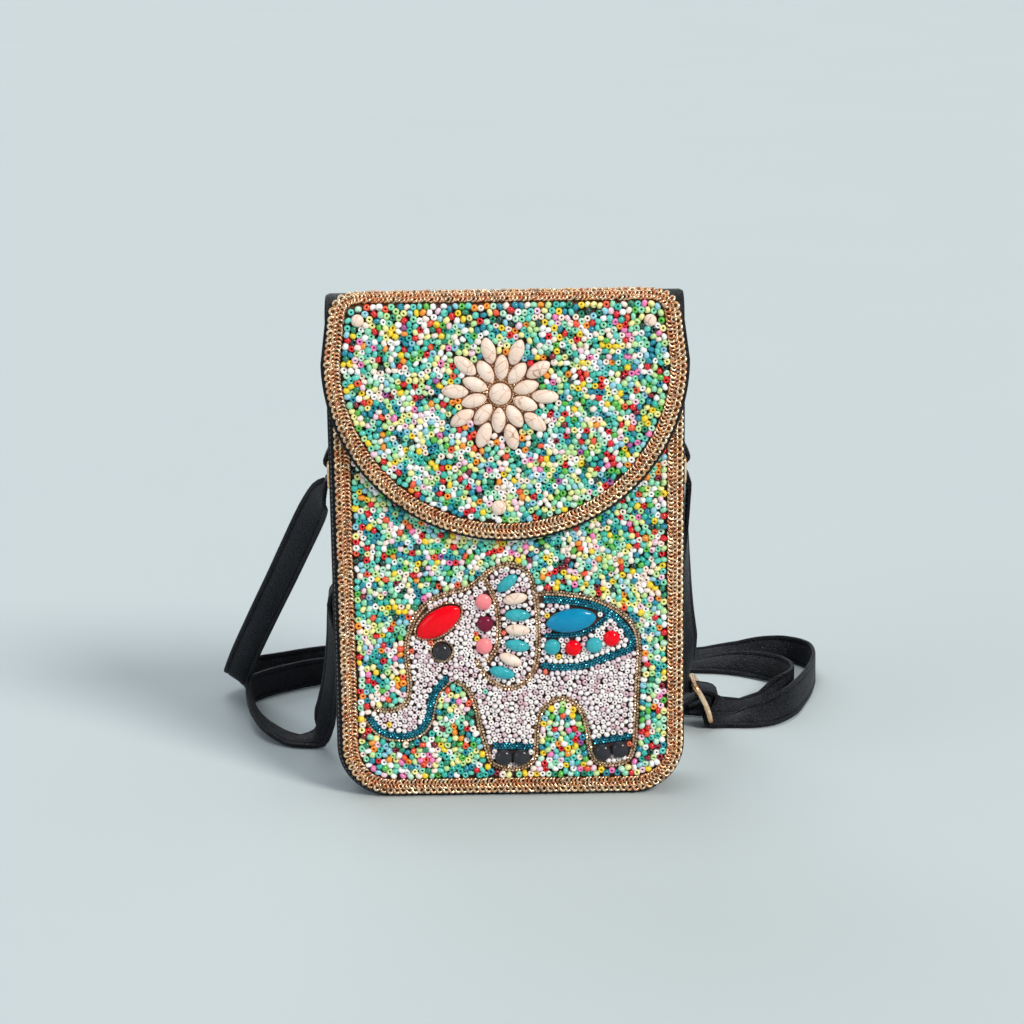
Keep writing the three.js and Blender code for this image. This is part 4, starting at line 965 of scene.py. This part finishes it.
def make_snap():
    r, h, axle = SNAP_RADIUS, SNAP_HEIGHT, 0.01
    edge, rim, well, well_depth = 0.6, 3.2, 2.8, 0.7
    profile = [
        [axle, 0], [r - edge, 0], [r, edge], [r, h - edge], [r - edge, h], [rim, h], [well, h - well_depth],
        [axle, h - well_depth]]
    origins, axes = on_panel([[0, SNAP_Z]], GAP)
    body = stamp(turned(profile, 32), origins, axes, np.ones((1, 3)))
    put("magnet_snap_disc", body, [OLD_GOLD], "old_gold_metal", ["magnet_snap"], sharp=SOFT_EDGE_ANGLE)


def panel_chain_path():
    half = BAG_WIDTH / 2 - PANEL_RIM - CHAIN_BAND / 2
    radius = PANEL_CORNER - (PANEL_RIM + CHAIN_BAND / 2)
    return pouch_line(half, PANEL_CORNER, radius, [PANEL_CHAIN_TOP]) + [PANEL_CHAIN_SHIFT, 0]


def flap_chain_path():
    inset = FLAP_RIM + CHAIN_BAND / 2
    top = FLAP_FRONT_LENGTH + FLAP_FRONT_BEND * FLAP_CHAIN_TOP_ANGLE
    half = FLAP_TOP_HALF_WIDTH - inset
    corner = FLAP_CHAIN_CORNER
    return np.vstack([
        arc(0, FLAP_RADIUS, FLAP_RADIUS - inset, 180, 360, 2),
        arc(half - corner, top - corner, corner, 0, 90, 8),
        arc(corner - half, top - corner, corner, 90, 180, 8),
    ])


CHAINS = [
    # face, the border's middle line, whether it closes
    ["panel", panel_chain_path(), False],
    ["flap", flap_chain_path(), True],
]
LINK_LEAN_SPREAD = 0.15
LINK_YAW_SPREAD = 0.28
LINK_TURN_SPREAD = 0.1
LINK_TWIST_SPREAD = 0.14


def link_row(face, path, closed, shares, offset, shift, pitch, size, wire, lean, twist, lift):
    """Ring links beside a path, leaned along it and twisted across it: a body and the metal of each face."""
    spots, ahead = even_steps(path, pitch, closed)
    spots = beside(spots, ahead, offset) + ahead * pitch * shift
    count = len(spots)
    origins, axes = FACES[face](spots, GAP + wire + lift)
    turn = np.arctan2(ahead[:, 1], ahead[:, 0])
    leans = math.radians(lean) + rng.normal(0, LINK_LEAN_SPREAD, count)
    axes = tilted(axes, turn, leans, rng.normal(0, LINK_YAW_SPREAD, count))
    turn = rng.normal(0, LINK_TURN_SPREAD, count)
    twists = math.radians(twist) + rng.normal(0, LINK_TWIST_SPREAD, count)
    axes = tilted(axes, turn, twists, np.full(count, math.pi / 2))
    share = 2 * wire / size
    template = turned(arc(1 - share, 0, share, 0, 300, 60), 16)
    tint = np.repeat(rng.choice(len(shares), count, p=shares), len(template[1]))
    return stamp(template, origins, axes, np.full((count, 3), size / 2)), tint


def make_chains():
    """Each border is two rows of flat rings that overlap like scales, with smaller rings standing between."""
    rows = [
        # name, shares of gold, copper and old gold, offset, shift, pitch, ring, wire, lean, twist, lift
        ["outer_row", [0.62, 0.16, 0.22], 1.55, 0, 2.3, 3.25, 0.5, 27, 15, 0.65],
        ["inner_row", [0.2, 0.56, 0.24], -1.6, 0.5, 1.5, 2.9, 0.44, 36, -16, 0.85],
        ["ridge", [0.5, 0.26, 0.24], 0.05, 0.25, 1.4, 2.5, 0.4, 38, 30, 1.0],
    ]
    for face, path, closed in CHAINS:
        for name, *row in rows:
            body, tint = link_row(face, path, closed, *row)
            node = [f"{face}_chain"] if name == "outer_row" else []
            put(f"{face}_chain_{name}", body, [GOLD, COPPER, OLD_GOLD], "gold_metal", node, tint)


FINE_BEAD = 1.25
EDGE_BEAD = 1.2
EDGE_ROW_OFFSET = 0.55
EYE_RING_RADIUS = 4.1
FLOWER_BEAD = 1.1
TEAL_BEAD = 1.15
BEAD_PITCH = 0.95
TEAL_ROWS = [-0.9, 0.0, 0.9]
TEAL_PAIR = [-0.5, 0.5]
TRIM_HALF_WIDTH = 1.45
PAIR_HALF_WIDTH = 1.05
LINE_STEP = 0.5
BEAD_RISE = 0.15
BEAD_LEAN = 0.8
FULL_TURN = 6.28


def ball_rows(lines, diameter, offsets, face="panel"):
    """Rows of small faceted metal beads laid beside lines on a face."""
    spots = []
    for line in lines:
        points, ahead = even_steps(line, diameter * BEAD_PITCH)
        for i, offset in enumerate(offsets):
            shifted = beside(points, ahead, offset)
            spots.append(shifted + ahead * diameter / 2 * (i % 2))
    spots = np.vstack(spots)
    count = len(spots)
    origins, axes = FACES[face](spots, GAP + diameter / 2 + rng.uniform(0, BEAD_RISE, count))
    turn, lean, yaw = (rng.uniform(0, most, count) for most in (math.pi, BEAD_LEAN, FULL_TURN))
    axes = tilted(axes, turn, lean, yaw)
    return stamp(faceted_ball(), origins, axes, np.tile([diameter], (count, 3)))


def drawn(line):
    return smooth_line(line, LINE_STEP)[:, :2]


def eye_ring():
    return arc(EYE_X, EYE_Z, EYE_RING_RADIUS, 0, 360, 10)


def brow_ring():
    """The line close round the brow stone."""
    _, _, x, z, length, width, _, angle, _ = LONG_STONES[0]
    gap = 0.7
    turn = np.linspace(0, 2 * math.pi, 61)
    t, side = np.cos(turn), np.sign(np.sin(turn))
    flat = np.column_stack([t * (length / 2 + gap), side * (1 - t * t) ** LONG_POWER * (width / 2 + gap)])
    c, s = math.cos(math.radians(angle)), math.sin(math.radians(angle))
    return flat @ np.array([[c, s], [-s, c]]) + [x, z]


def flower_lines():
    """The lines round the flower's centre and between its inner petals."""
    middle = np.array(flat_place("flap", FLOWER_X, FLOWER_Z))
    _, _, first, _, _ = PETAL_RINGS[0]
    ring, spoke_start, spoke_end = 4.75, 5.9, 10.3
    lines = [arc(*middle, ring, 0, 350, 10)]
    for i in range(PETALS_PER_RING):
        angle = math.radians(first - 360 * (i + 0.5) / PETALS_PER_RING)
        ahead = np.array([math.cos(angle), math.sin(angle)])
        lines.append(np.array([middle + spoke_start * ahead, middle + spoke_end * ahead]))
    return lines


def trunk_edge():
    """The line along the outer side of the trunk's trim."""
    trunk, ahead = even_steps(drawn(TRUNK_LINE), 1.0)
    return beside(trunk, ahead, TRIM_HALF_WIDTH + EDGE_ROW_OFFSET)


def make_fine_chains():
    double = [-FINE_BEAD * 0.45, FINE_BEAD * 0.45]
    gold, teal = ([OLD_GOLD], "old_gold_metal"), ([TEAL_METAL], "teal_metal")
    outlines = [drawn(line) for line in (HEAD_LINE, EAR_LINE, BODY_LINE)]
    outline = ball_rows(outlines, FINE_BEAD, double)
    put("elephant_outline_beads", outline, *gold, ["elephant_outline"], sharp=0)
    edges = ball_rows([eye_ring(), brow_ring(), trunk_edge()], EDGE_BEAD, [0.0])
    put("eye_and_trunk_fine_beads", edges, *gold, sharp=0)
    trunk = ball_rows([drawn(TRUNK_LINE)], TEAL_BEAD, TEAL_ROWS)
    put("trunk_trim_beads", trunk, *teal, ["trunk_trim"], sharp=0)
    saddle = gather([
        ball_rows([drawn(SADDLE_LINE)], TEAL_BEAD, TEAL_ROWS),
        ball_rows([drawn(SADDLE_INNER_LINE)], TEAL_BEAD, TEAL_PAIR)])
    put("saddle_trim_beads", saddle, *teal, ["saddle_trim"], sharp=0)
    flower = ball_rows(flower_lines(), FLOWER_BEAD, [0.0], "flap")
    put("flower_fine_beads", flower, [GOLD], "gold_metal", sharp=0)


# Stones
def stone_body(half_length, half_width, height, power, sides=28, rings=18):
    """A stone with a rounded back, longer along the first axis and more pointed for a higher power."""
    along = np.cos(np.linspace(0, math.pi, rings + 1))
    points, faces = [[half_length, 0, height / 2]], []
    for t in along[1:-1]:
        r = (1 - t * t) ** power
        for a in 2 * math.pi * np.arange(sides) / sides:
            points.append([t * half_length, r * half_width * math.cos(a), height / 2 * (1 + r * math.sin(a))])
    points.append([-half_length, 0, height / 2])
    for j in range(sides):
        k = (j + 1) % sides
        faces.append([0, 1 + j, 1 + k])
        for i in range(rings - 2):
            a = 1 + i * sides
            faces.append([a + j, a + sides + j, a + sides + k, a + k])
        a = 1 + (rings - 2) * sides
        faces.append([a + j, len(points) - 1, a + k])
    return np.array(points), faces


def place_stone(body, face, x, z, angle):
    origins, axes = FACES[face]([flat_place(face, x, z)], GAP)
    axes = tilted(axes, np.array([math.radians(angle)]), np.zeros(1), np.zeros(1))
    points, faces = body
    return outward(origins[0] + points @ axes[0], faces)


def make_stones():
    for node, face, x, z, diameter, height, stone in ROUND_STONES:
        body = stone_body(diameter / 2, diameter / 2, height, ROUND_POWER)
        body = place_stone(body, face, x, z, rng.uniform(0, 180))
        put(f"{node}_stone", body, [STONES[stone]], f"{stone}_stone", [node])
    for node, face, x, z, length, width, height, angle, stone in LONG_STONES:
        power = POINTED_POWER if "petal" in node or node == "saddle_stone" else LONG_POWER
        body = place_stone(stone_body(length / 2, width / 2, height, power), face, x, z, angle)
        put(f"{node}_polished", body, [STONES[stone]], f"{stone}_stone", [node])
    for node, band, toes in FEET:
        body = stone_body(TOE_DIAMETER / 2, TOE_DIAMETER / 2, TOE_HEIGHT, ROUND_POWER)
        body = gather([place_stone(body, "panel", x, z, 0) for x, z in toes])
        put(f"{node}_toes", body, [STONES["charcoal"]], "charcoal_stone", [node])
        body = ball_rows([np.array(band)], TEAL_BEAD, TEAL_ROWS)
        put(f"{node}_band_beads", body, [TEAL_METAL], "teal_metal", sharp=0)


# Seed beads
SEED_DIAMETER = 2.7
SEED_LENGTH = 2.0
SEED_SPACING = 2.3
ELEPHANT_SEED = 2.15
ELEPHANT_SPACING = 2.08
SIZE_SPREAD = (0.93, 1.07)
LENGTH_SPREAD = (0.85, 1.15)
GLUE_RISE = 0.45
END_LEAN = 0.5
SIDE_LEAN_SPREAD = 0.22
KEEP_OUT_STEP = 1.2
FIELD_ENDS_OUT = 0.42
ELEPHANT_ENDS_OUT = 0.6
HEM_ENDS_OUT = 0.3
PIECE_SPLIT_Z = 62
UNDER_FLAP = 12.0
SEED_PROFILE = [
    # radius and height as shares of the outer radius and half the length
    [0.3, -0.6], [0.6, -1.0], [0.97, -0.45], [0.97, 0.45], [0.6, 1.0], [0.3, 0.6],
]


def inside(points, polygon):
    """Which points lie inside a polygon."""
    x, y = points[:, :1], points[:, 1:2]
    a, b = polygon, np.roll(polygon, -1, 0)
    span = np.where(b[:, 1] == a[:, 1], 1e-9, b[:, 1] - a[:, 1])
    crossing = (a[:, 1] > y) != (b[:, 1] > y)
    left = x < a[:, 0] + (b[:, 0] - a[:, 0]) * (y - a[:, 1]) / span
    return (crossing & left).sum(1) % 2 == 1


def keep_out_line(line, half_width):
    """Round keep-out places along a line: x, z and radius."""
    spots = even_steps(line, KEEP_OUT_STEP)[0]
    return np.column_stack([spots, np.full(len(spots), half_width)])


def keep_out_stones(face):
    """Round keep-out places under the stones of a face."""
    rows = []
    for _, on, x, z, diameter, *_ in ROUND_STONES:
        if on == face:
            rows.append([*flat_place(face, x, z), diameter / 2])
    for _, on, x, z, length, width, _, angle, _ in LONG_STONES:
        if on == face:
            ahead = np.array([math.cos(math.radians(angle)), math.sin(math.radians(angle))])
            for t in np.linspace(-0.86, 0.86, 7):
                spot = np.array(flat_place(face, x, z)) + ahead * t * length / 2
                rows.append([*spot, width / 2 * (1 - t * t) ** LONG_POWER])
    if face == "panel":
        for _, _, toes in FEET:
            rows += [[x, z, TOE_DIAMETER / 2] for x, z in toes]
    return np.array(rows)


def settle(allowed, low, high, keep_out, spacing, loose=0.46, nearest=0.34):
    """Beads laid over a field and pushed apart until they lie evenly, clear of the keep-out places."""
    blocked = keep_out.astype(np.float32)
    near, walls = np.float32(spacing), blocked[:, 2] + spacing * loose
    bead_push, wall_push, longest_move = 0.4, 0.5, 0.4
    row_share, jitter, start_clear, end_clear = 0.9, 0.55, 0.3, 0.2
    probe_step, room_needed, added_apart = 0.45, 0.74, 0.8

    def clearance(spots):
        reach = np.hypot(spots[:, :1] - blocked[:, 0], spots[:, 1:] - blocked[:, 1]) - blocked[:, 2]
        return reach.min(1)

    def push_apart(spots, rounds):
        for _ in range(rounds):
            move = np.zeros_like(spots)
            for others, reach, share in ((spots, near, bead_push), (blocked, walls, wall_push)):
                dx = spots[:, :1] - others[:, 0]
                dy = spots[:, 1:2] - others[:, 1]
                apart = np.hypot(dx, dy) + 1e-6
                if others is spots:
                    np.fill_diagonal(apart, 1e3)
                push = share * np.clip(reach - apart, 0, None) / apart
                move += np.column_stack([(dx * push).sum(1), (dy * push).sum(1)])
            spots = spots + np.clip(move, -longest_move, longest_move)
        return spots

    rows = np.arange(low[1], high[1], spacing * row_share)
    columns = np.arange(low[0], high[0], spacing)
    spots = np.array([[x + spacing / 2 * (i % 2), y] for i, y in enumerate(rows) for x in columns])
    spots = (spots + rng.uniform(-jitter, jitter, spots.shape) * spacing).astype(np.float32)
    spots = push_apart(spots[allowed(spots) & (clearance(spots) > spacing * start_clear)], 30)

    grid = np.meshgrid(*(np.arange(start, end, probe_step) for start, end in zip(low, high)))
    probe = np.stack(grid, -1).reshape(-1, 2).astype(np.float32)
    probe = probe[allowed(probe)]
    probe = probe[clearance(probe) > spacing * nearest]
    for _ in range(4):
        tree = KDTree(len(spots))
        for i, (x, y) in enumerate(spots):
            tree.insert((x, y, 0), i)
        tree.balance()
        room = np.array([tree.find((x, y, 0))[2] for x, y in probe])
        added = []
        for i in np.argsort(-room):
            if room[i] < spacing * room_needed:
                break
            if all(math.hypot(*(probe[i] - spot)) > spacing * added_apart for spot in added):
                added.append(probe[i])
        if not added:
            break
        spots = push_apart(np.vstack([spots, added]), 6)
    spots = push_apart(spots, 6)
    return spots[allowed(spots) & (clearance(spots) > spacing * end_clear)].astype(float)


def bead_piece(name, face, spots, glass, diameter, ends_out):
    """Seed beads glued down at random: some show their holes, the others lie on their sides."""
    count = len(spots)
    facing = rng.random(count) < ends_out
    sizes = diameter * rng.uniform(*SIZE_SPREAD, count)
    lengths = SEED_LENGTH * diameter / SEED_DIAMETER * rng.uniform(*LENGTH_SPREAD, count)
    heights = GAP + np.where(facing, lengths, sizes) / 2 + rng.uniform(0.0, GLUE_RISE, count)
    origins, axes = FACES[face](spots, heights)
    end_lean = rng.uniform(0, END_LEAN, count)
    lean = np.where(facing, end_lean, rng.normal(math.pi / 2, SIDE_LEAN_SPREAD, count))
    turn, yaw = (rng.uniform(0, FULL_TURN, count) for _ in range(2))
    axes = tilted(axes, turn, lean, yaw)
    template = turned(SEED_PROFILE, 9)
    body = stamp(template, origins, axes, np.column_stack([sizes / 2, sizes / 2, lengths / 2]))
    materials = [pressed_glass(f"{colour}_glass", code) for colour, code, _ in glass]
    shares = np.array([share for *_, share in glass], float)
    tint = np.repeat(rng.choice(len(glass), count, p=shares / shares.sum()), len(template[1]))
    put(name, body, materials, "seed_beads", tint=tint)


def make_seed_beads():
    elephant = np.vstack([drawn(HEAD_LINE[:EAR_TURN]), drawn(BODY_LINE), drawn(TRUNK_LINE)[::-1]])
    fine = [keep_out_line(drawn(line), FINE_BEAD) for line in (HEAD_LINE, EAR_LINE, BODY_LINE)]
    fine += [keep_out_line(drawn(line), TRIM_HALF_WIDTH) for line in (TRUNK_LINE, SADDLE_LINE)]
    fine.append(keep_out_line(drawn(SADDLE_INNER_LINE), PAIR_HALF_WIDTH))
    fine += [keep_out_line(np.array(band), TRIM_HALF_WIDTH) for _, band, _ in FEET]
    fine += [keep_out_line(line, EDGE_BEAD / 2) for line in (eye_ring(), brow_ring(), trunk_edge())]
    hem, ahead = even_steps(drawn(SADDLE_LINE[SADDLE_HEM_START:]), ELEPHANT_SEED)
    hem = beside(hem, ahead, TRIM_HALF_WIDTH + ELEPHANT_SEED / 2)[2:-1]
    drawn_things = np.vstack([*fine, keep_out_stones("panel")])
    hem_places = np.column_stack([hem, np.full(len(hem), ELEPHANT_SEED / 2)])

    field = panel_chain_path()
    border = keep_out_line(field, CHAIN_BAND / 2)

    def below_flap(spots):
        edge = FLAP_ROUND_Z - np.sqrt(np.clip(FLAP_RADIUS ** 2 - spots[:, 0] ** 2, 0, None))
        return spots[:, 1] < np.minimum(edge + UNDER_FLAP, PANEL_CHAIN_TOP)

    def on_field(spots):
        clear_of_snap = np.hypot(spots[:, 0], spots[:, 1] - SNAP_Z) > SNAP_RADIUS + SEED_DIAMETER / 2
        return inside(spots, field) & ~inside(spots, elephant) & below_flap(spots) & clear_of_snap

    half = BAG_WIDTH / 2
    spots = settle(
        on_field, [-half, 0], [half, PANEL_CHAIN_TOP], np.vstack([drawn_things, border]), SEED_SPACING)
    low = spots[:, 1] < PIECE_SPLIT_Z
    for name, part in (("low", low), ("high", ~low)):
        bead_piece(
            f"panel_seed_beads_{name}", "panel", spots[part], FIELD_GLASS, SEED_DIAMETER, FIELD_ENDS_OUT)

    spots = settle(
        lambda spots: inside(spots, elephant), [-60, 5], [55, 95], np.vstack([drawn_things, hem_places]),
        ELEPHANT_SPACING, loose=0.36, nearest=0.22)
    bead_piece("elephant_seed_beads", "panel", spots, ELEPHANT_GLASS, ELEPHANT_SEED, ELEPHANT_ENDS_OUT)
    bead_piece("saddle_hem_beads", "panel", hem, HEM_GLASS, ELEPHANT_SEED, HEM_ENDS_OUT)

    field = flap_chain_path()
    border = keep_out_line(np.vstack([field, field[:1]]), CHAIN_BAND / 2)
    keep_out = np.vstack([keep_out_stones("flap"), border])
    spots = settle(
        lambda spots: inside(spots, field), [-half, 0], [half, field[:, 1].max()], keep_out, SEED_SPACING)
    bead_piece("flap_seed_beads", "flap", spots, FIELD_GLASS, SEED_DIAMETER, FIELD_ENDS_OUT)


# Floor, light and camera
def make_stage():
    """A wide pale floor."""
    reach = 14000.0
    rim = arc(0, 0, reach, 0, 355, 5)
    points = np.insert(rim, 2, 0, axis=1)
    made = mottled(
        "matt_painted_board", {"Roughness": 0.9}, "ShaderNodeTexNoise", {"Scale": 3.0, "Detail": 3.0},
        ("#bdc8cb", "#c1cbce"))[0]
    mesh = bpy.data.meshes.new("studio_floor")
    mesh.from_pydata((points * MM).tolist(), [], [list(range(len(points)))])
    mesh.materials.append(made)
    floor = bpy.data.objects.new("studio_floor", mesh)
    bpy.context.scene.collection.objects.link(floor)


def make_light():
    lamps = [
        # name, where it stands, degrees across, strength, colour
        ["key_light", (0.75, -0.85, 0.86), 17, 2.4, "#fffaf2"],
        ["fill_light", (-0.95, -0.7, 0.46), 34, 0.5, "#eef4ff"],
        ["top_light", (-0.1, 0.1, 1.21), 32, 0.9, "#ffffff"],
        ["rear_light", (-0.4, 1.0, 0.75), 40, 0.6, "#f4f8ff"],
    ]
    for name, place, across, strength, colour in lamps:
        lamp = bpy.data.lights.new(name, "SUN")
        lamp.angle = math.radians(across)
        lamp.energy = strength
        lamp.color = linear(colour)[:3]
        stand = bpy.data.objects.new(name, lamp)
        stand.location = place
        aim = -np.array(place)
        tilt = math.acos(-aim[2] / np.linalg.norm(aim))
        stand.rotation_euler = (tilt, 0, math.atan2(aim[1], aim[0]) - math.pi / 2)
        bpy.context.scene.collection.objects.link(stand)
    world = bpy.data.worlds.new("soft_room")
    world.use_nodes = True
    tree = world.node_tree
    place = add_node(tree, "ShaderNodeTexCoord").outputs["Generated"]
    rise = add_node(tree, "ShaderNodeSeparateXYZ", links={0: place}).outputs["Z"]
    share = add_node(tree, "ShaderNodeMapRange", {1: 0.0, 2: 0.3}, {0: rise})
    tone = add_node(
        tree, "ShaderNodeMix", {"data_type": "RGBA", 6: linear("#d2dddf"), 7: linear("#8b9193")},
        {0: share.outputs[0]})
    tree.links.new(tone.outputs[2], tree.nodes["Background"].inputs["Color"])
    bpy.context.scene.world = world
    bpy.context.scene.view_settings.view_transform = "Standard"


def make_camera():
    """The photograph's viewpoint: in front of the bag, a little above it, with the frame turned slightly."""
    lens_mm, sensor_mm, pitch, turn = 89.0, 36.0, math.radians(13.74), math.radians(-0.79)
    eye = bpy.data.cameras.new("photo_camera")
    eye.lens = lens_mm
    eye.sensor_width = sensor_mm
    eye.clip_start = 0.05
    camera = bpy.data.objects.new("photo_camera", eye)
    camera.location = (0.0017, -0.914, 0.3299)
    aim = Matrix.Rotation(math.pi / 2 - pitch, 3, "X") @ Matrix.Rotation(turn, 3, "Z")
    camera.rotation_euler = aim.to_euler()
    bpy.context.scene.collection.objects.link(camera)
    bpy.context.scene.camera = camera


make_camera()
make_strap()
make_panels()
make_gusset()
make_flap()
for side in HANDS:
    make_tab(side)
    make_ring(side)
make_slide()
make_snap()
make_stitches()
make_felt()
make_chains()
make_fine_chains()
make_stones()
make_seed_beads()
make_stage()
make_light()
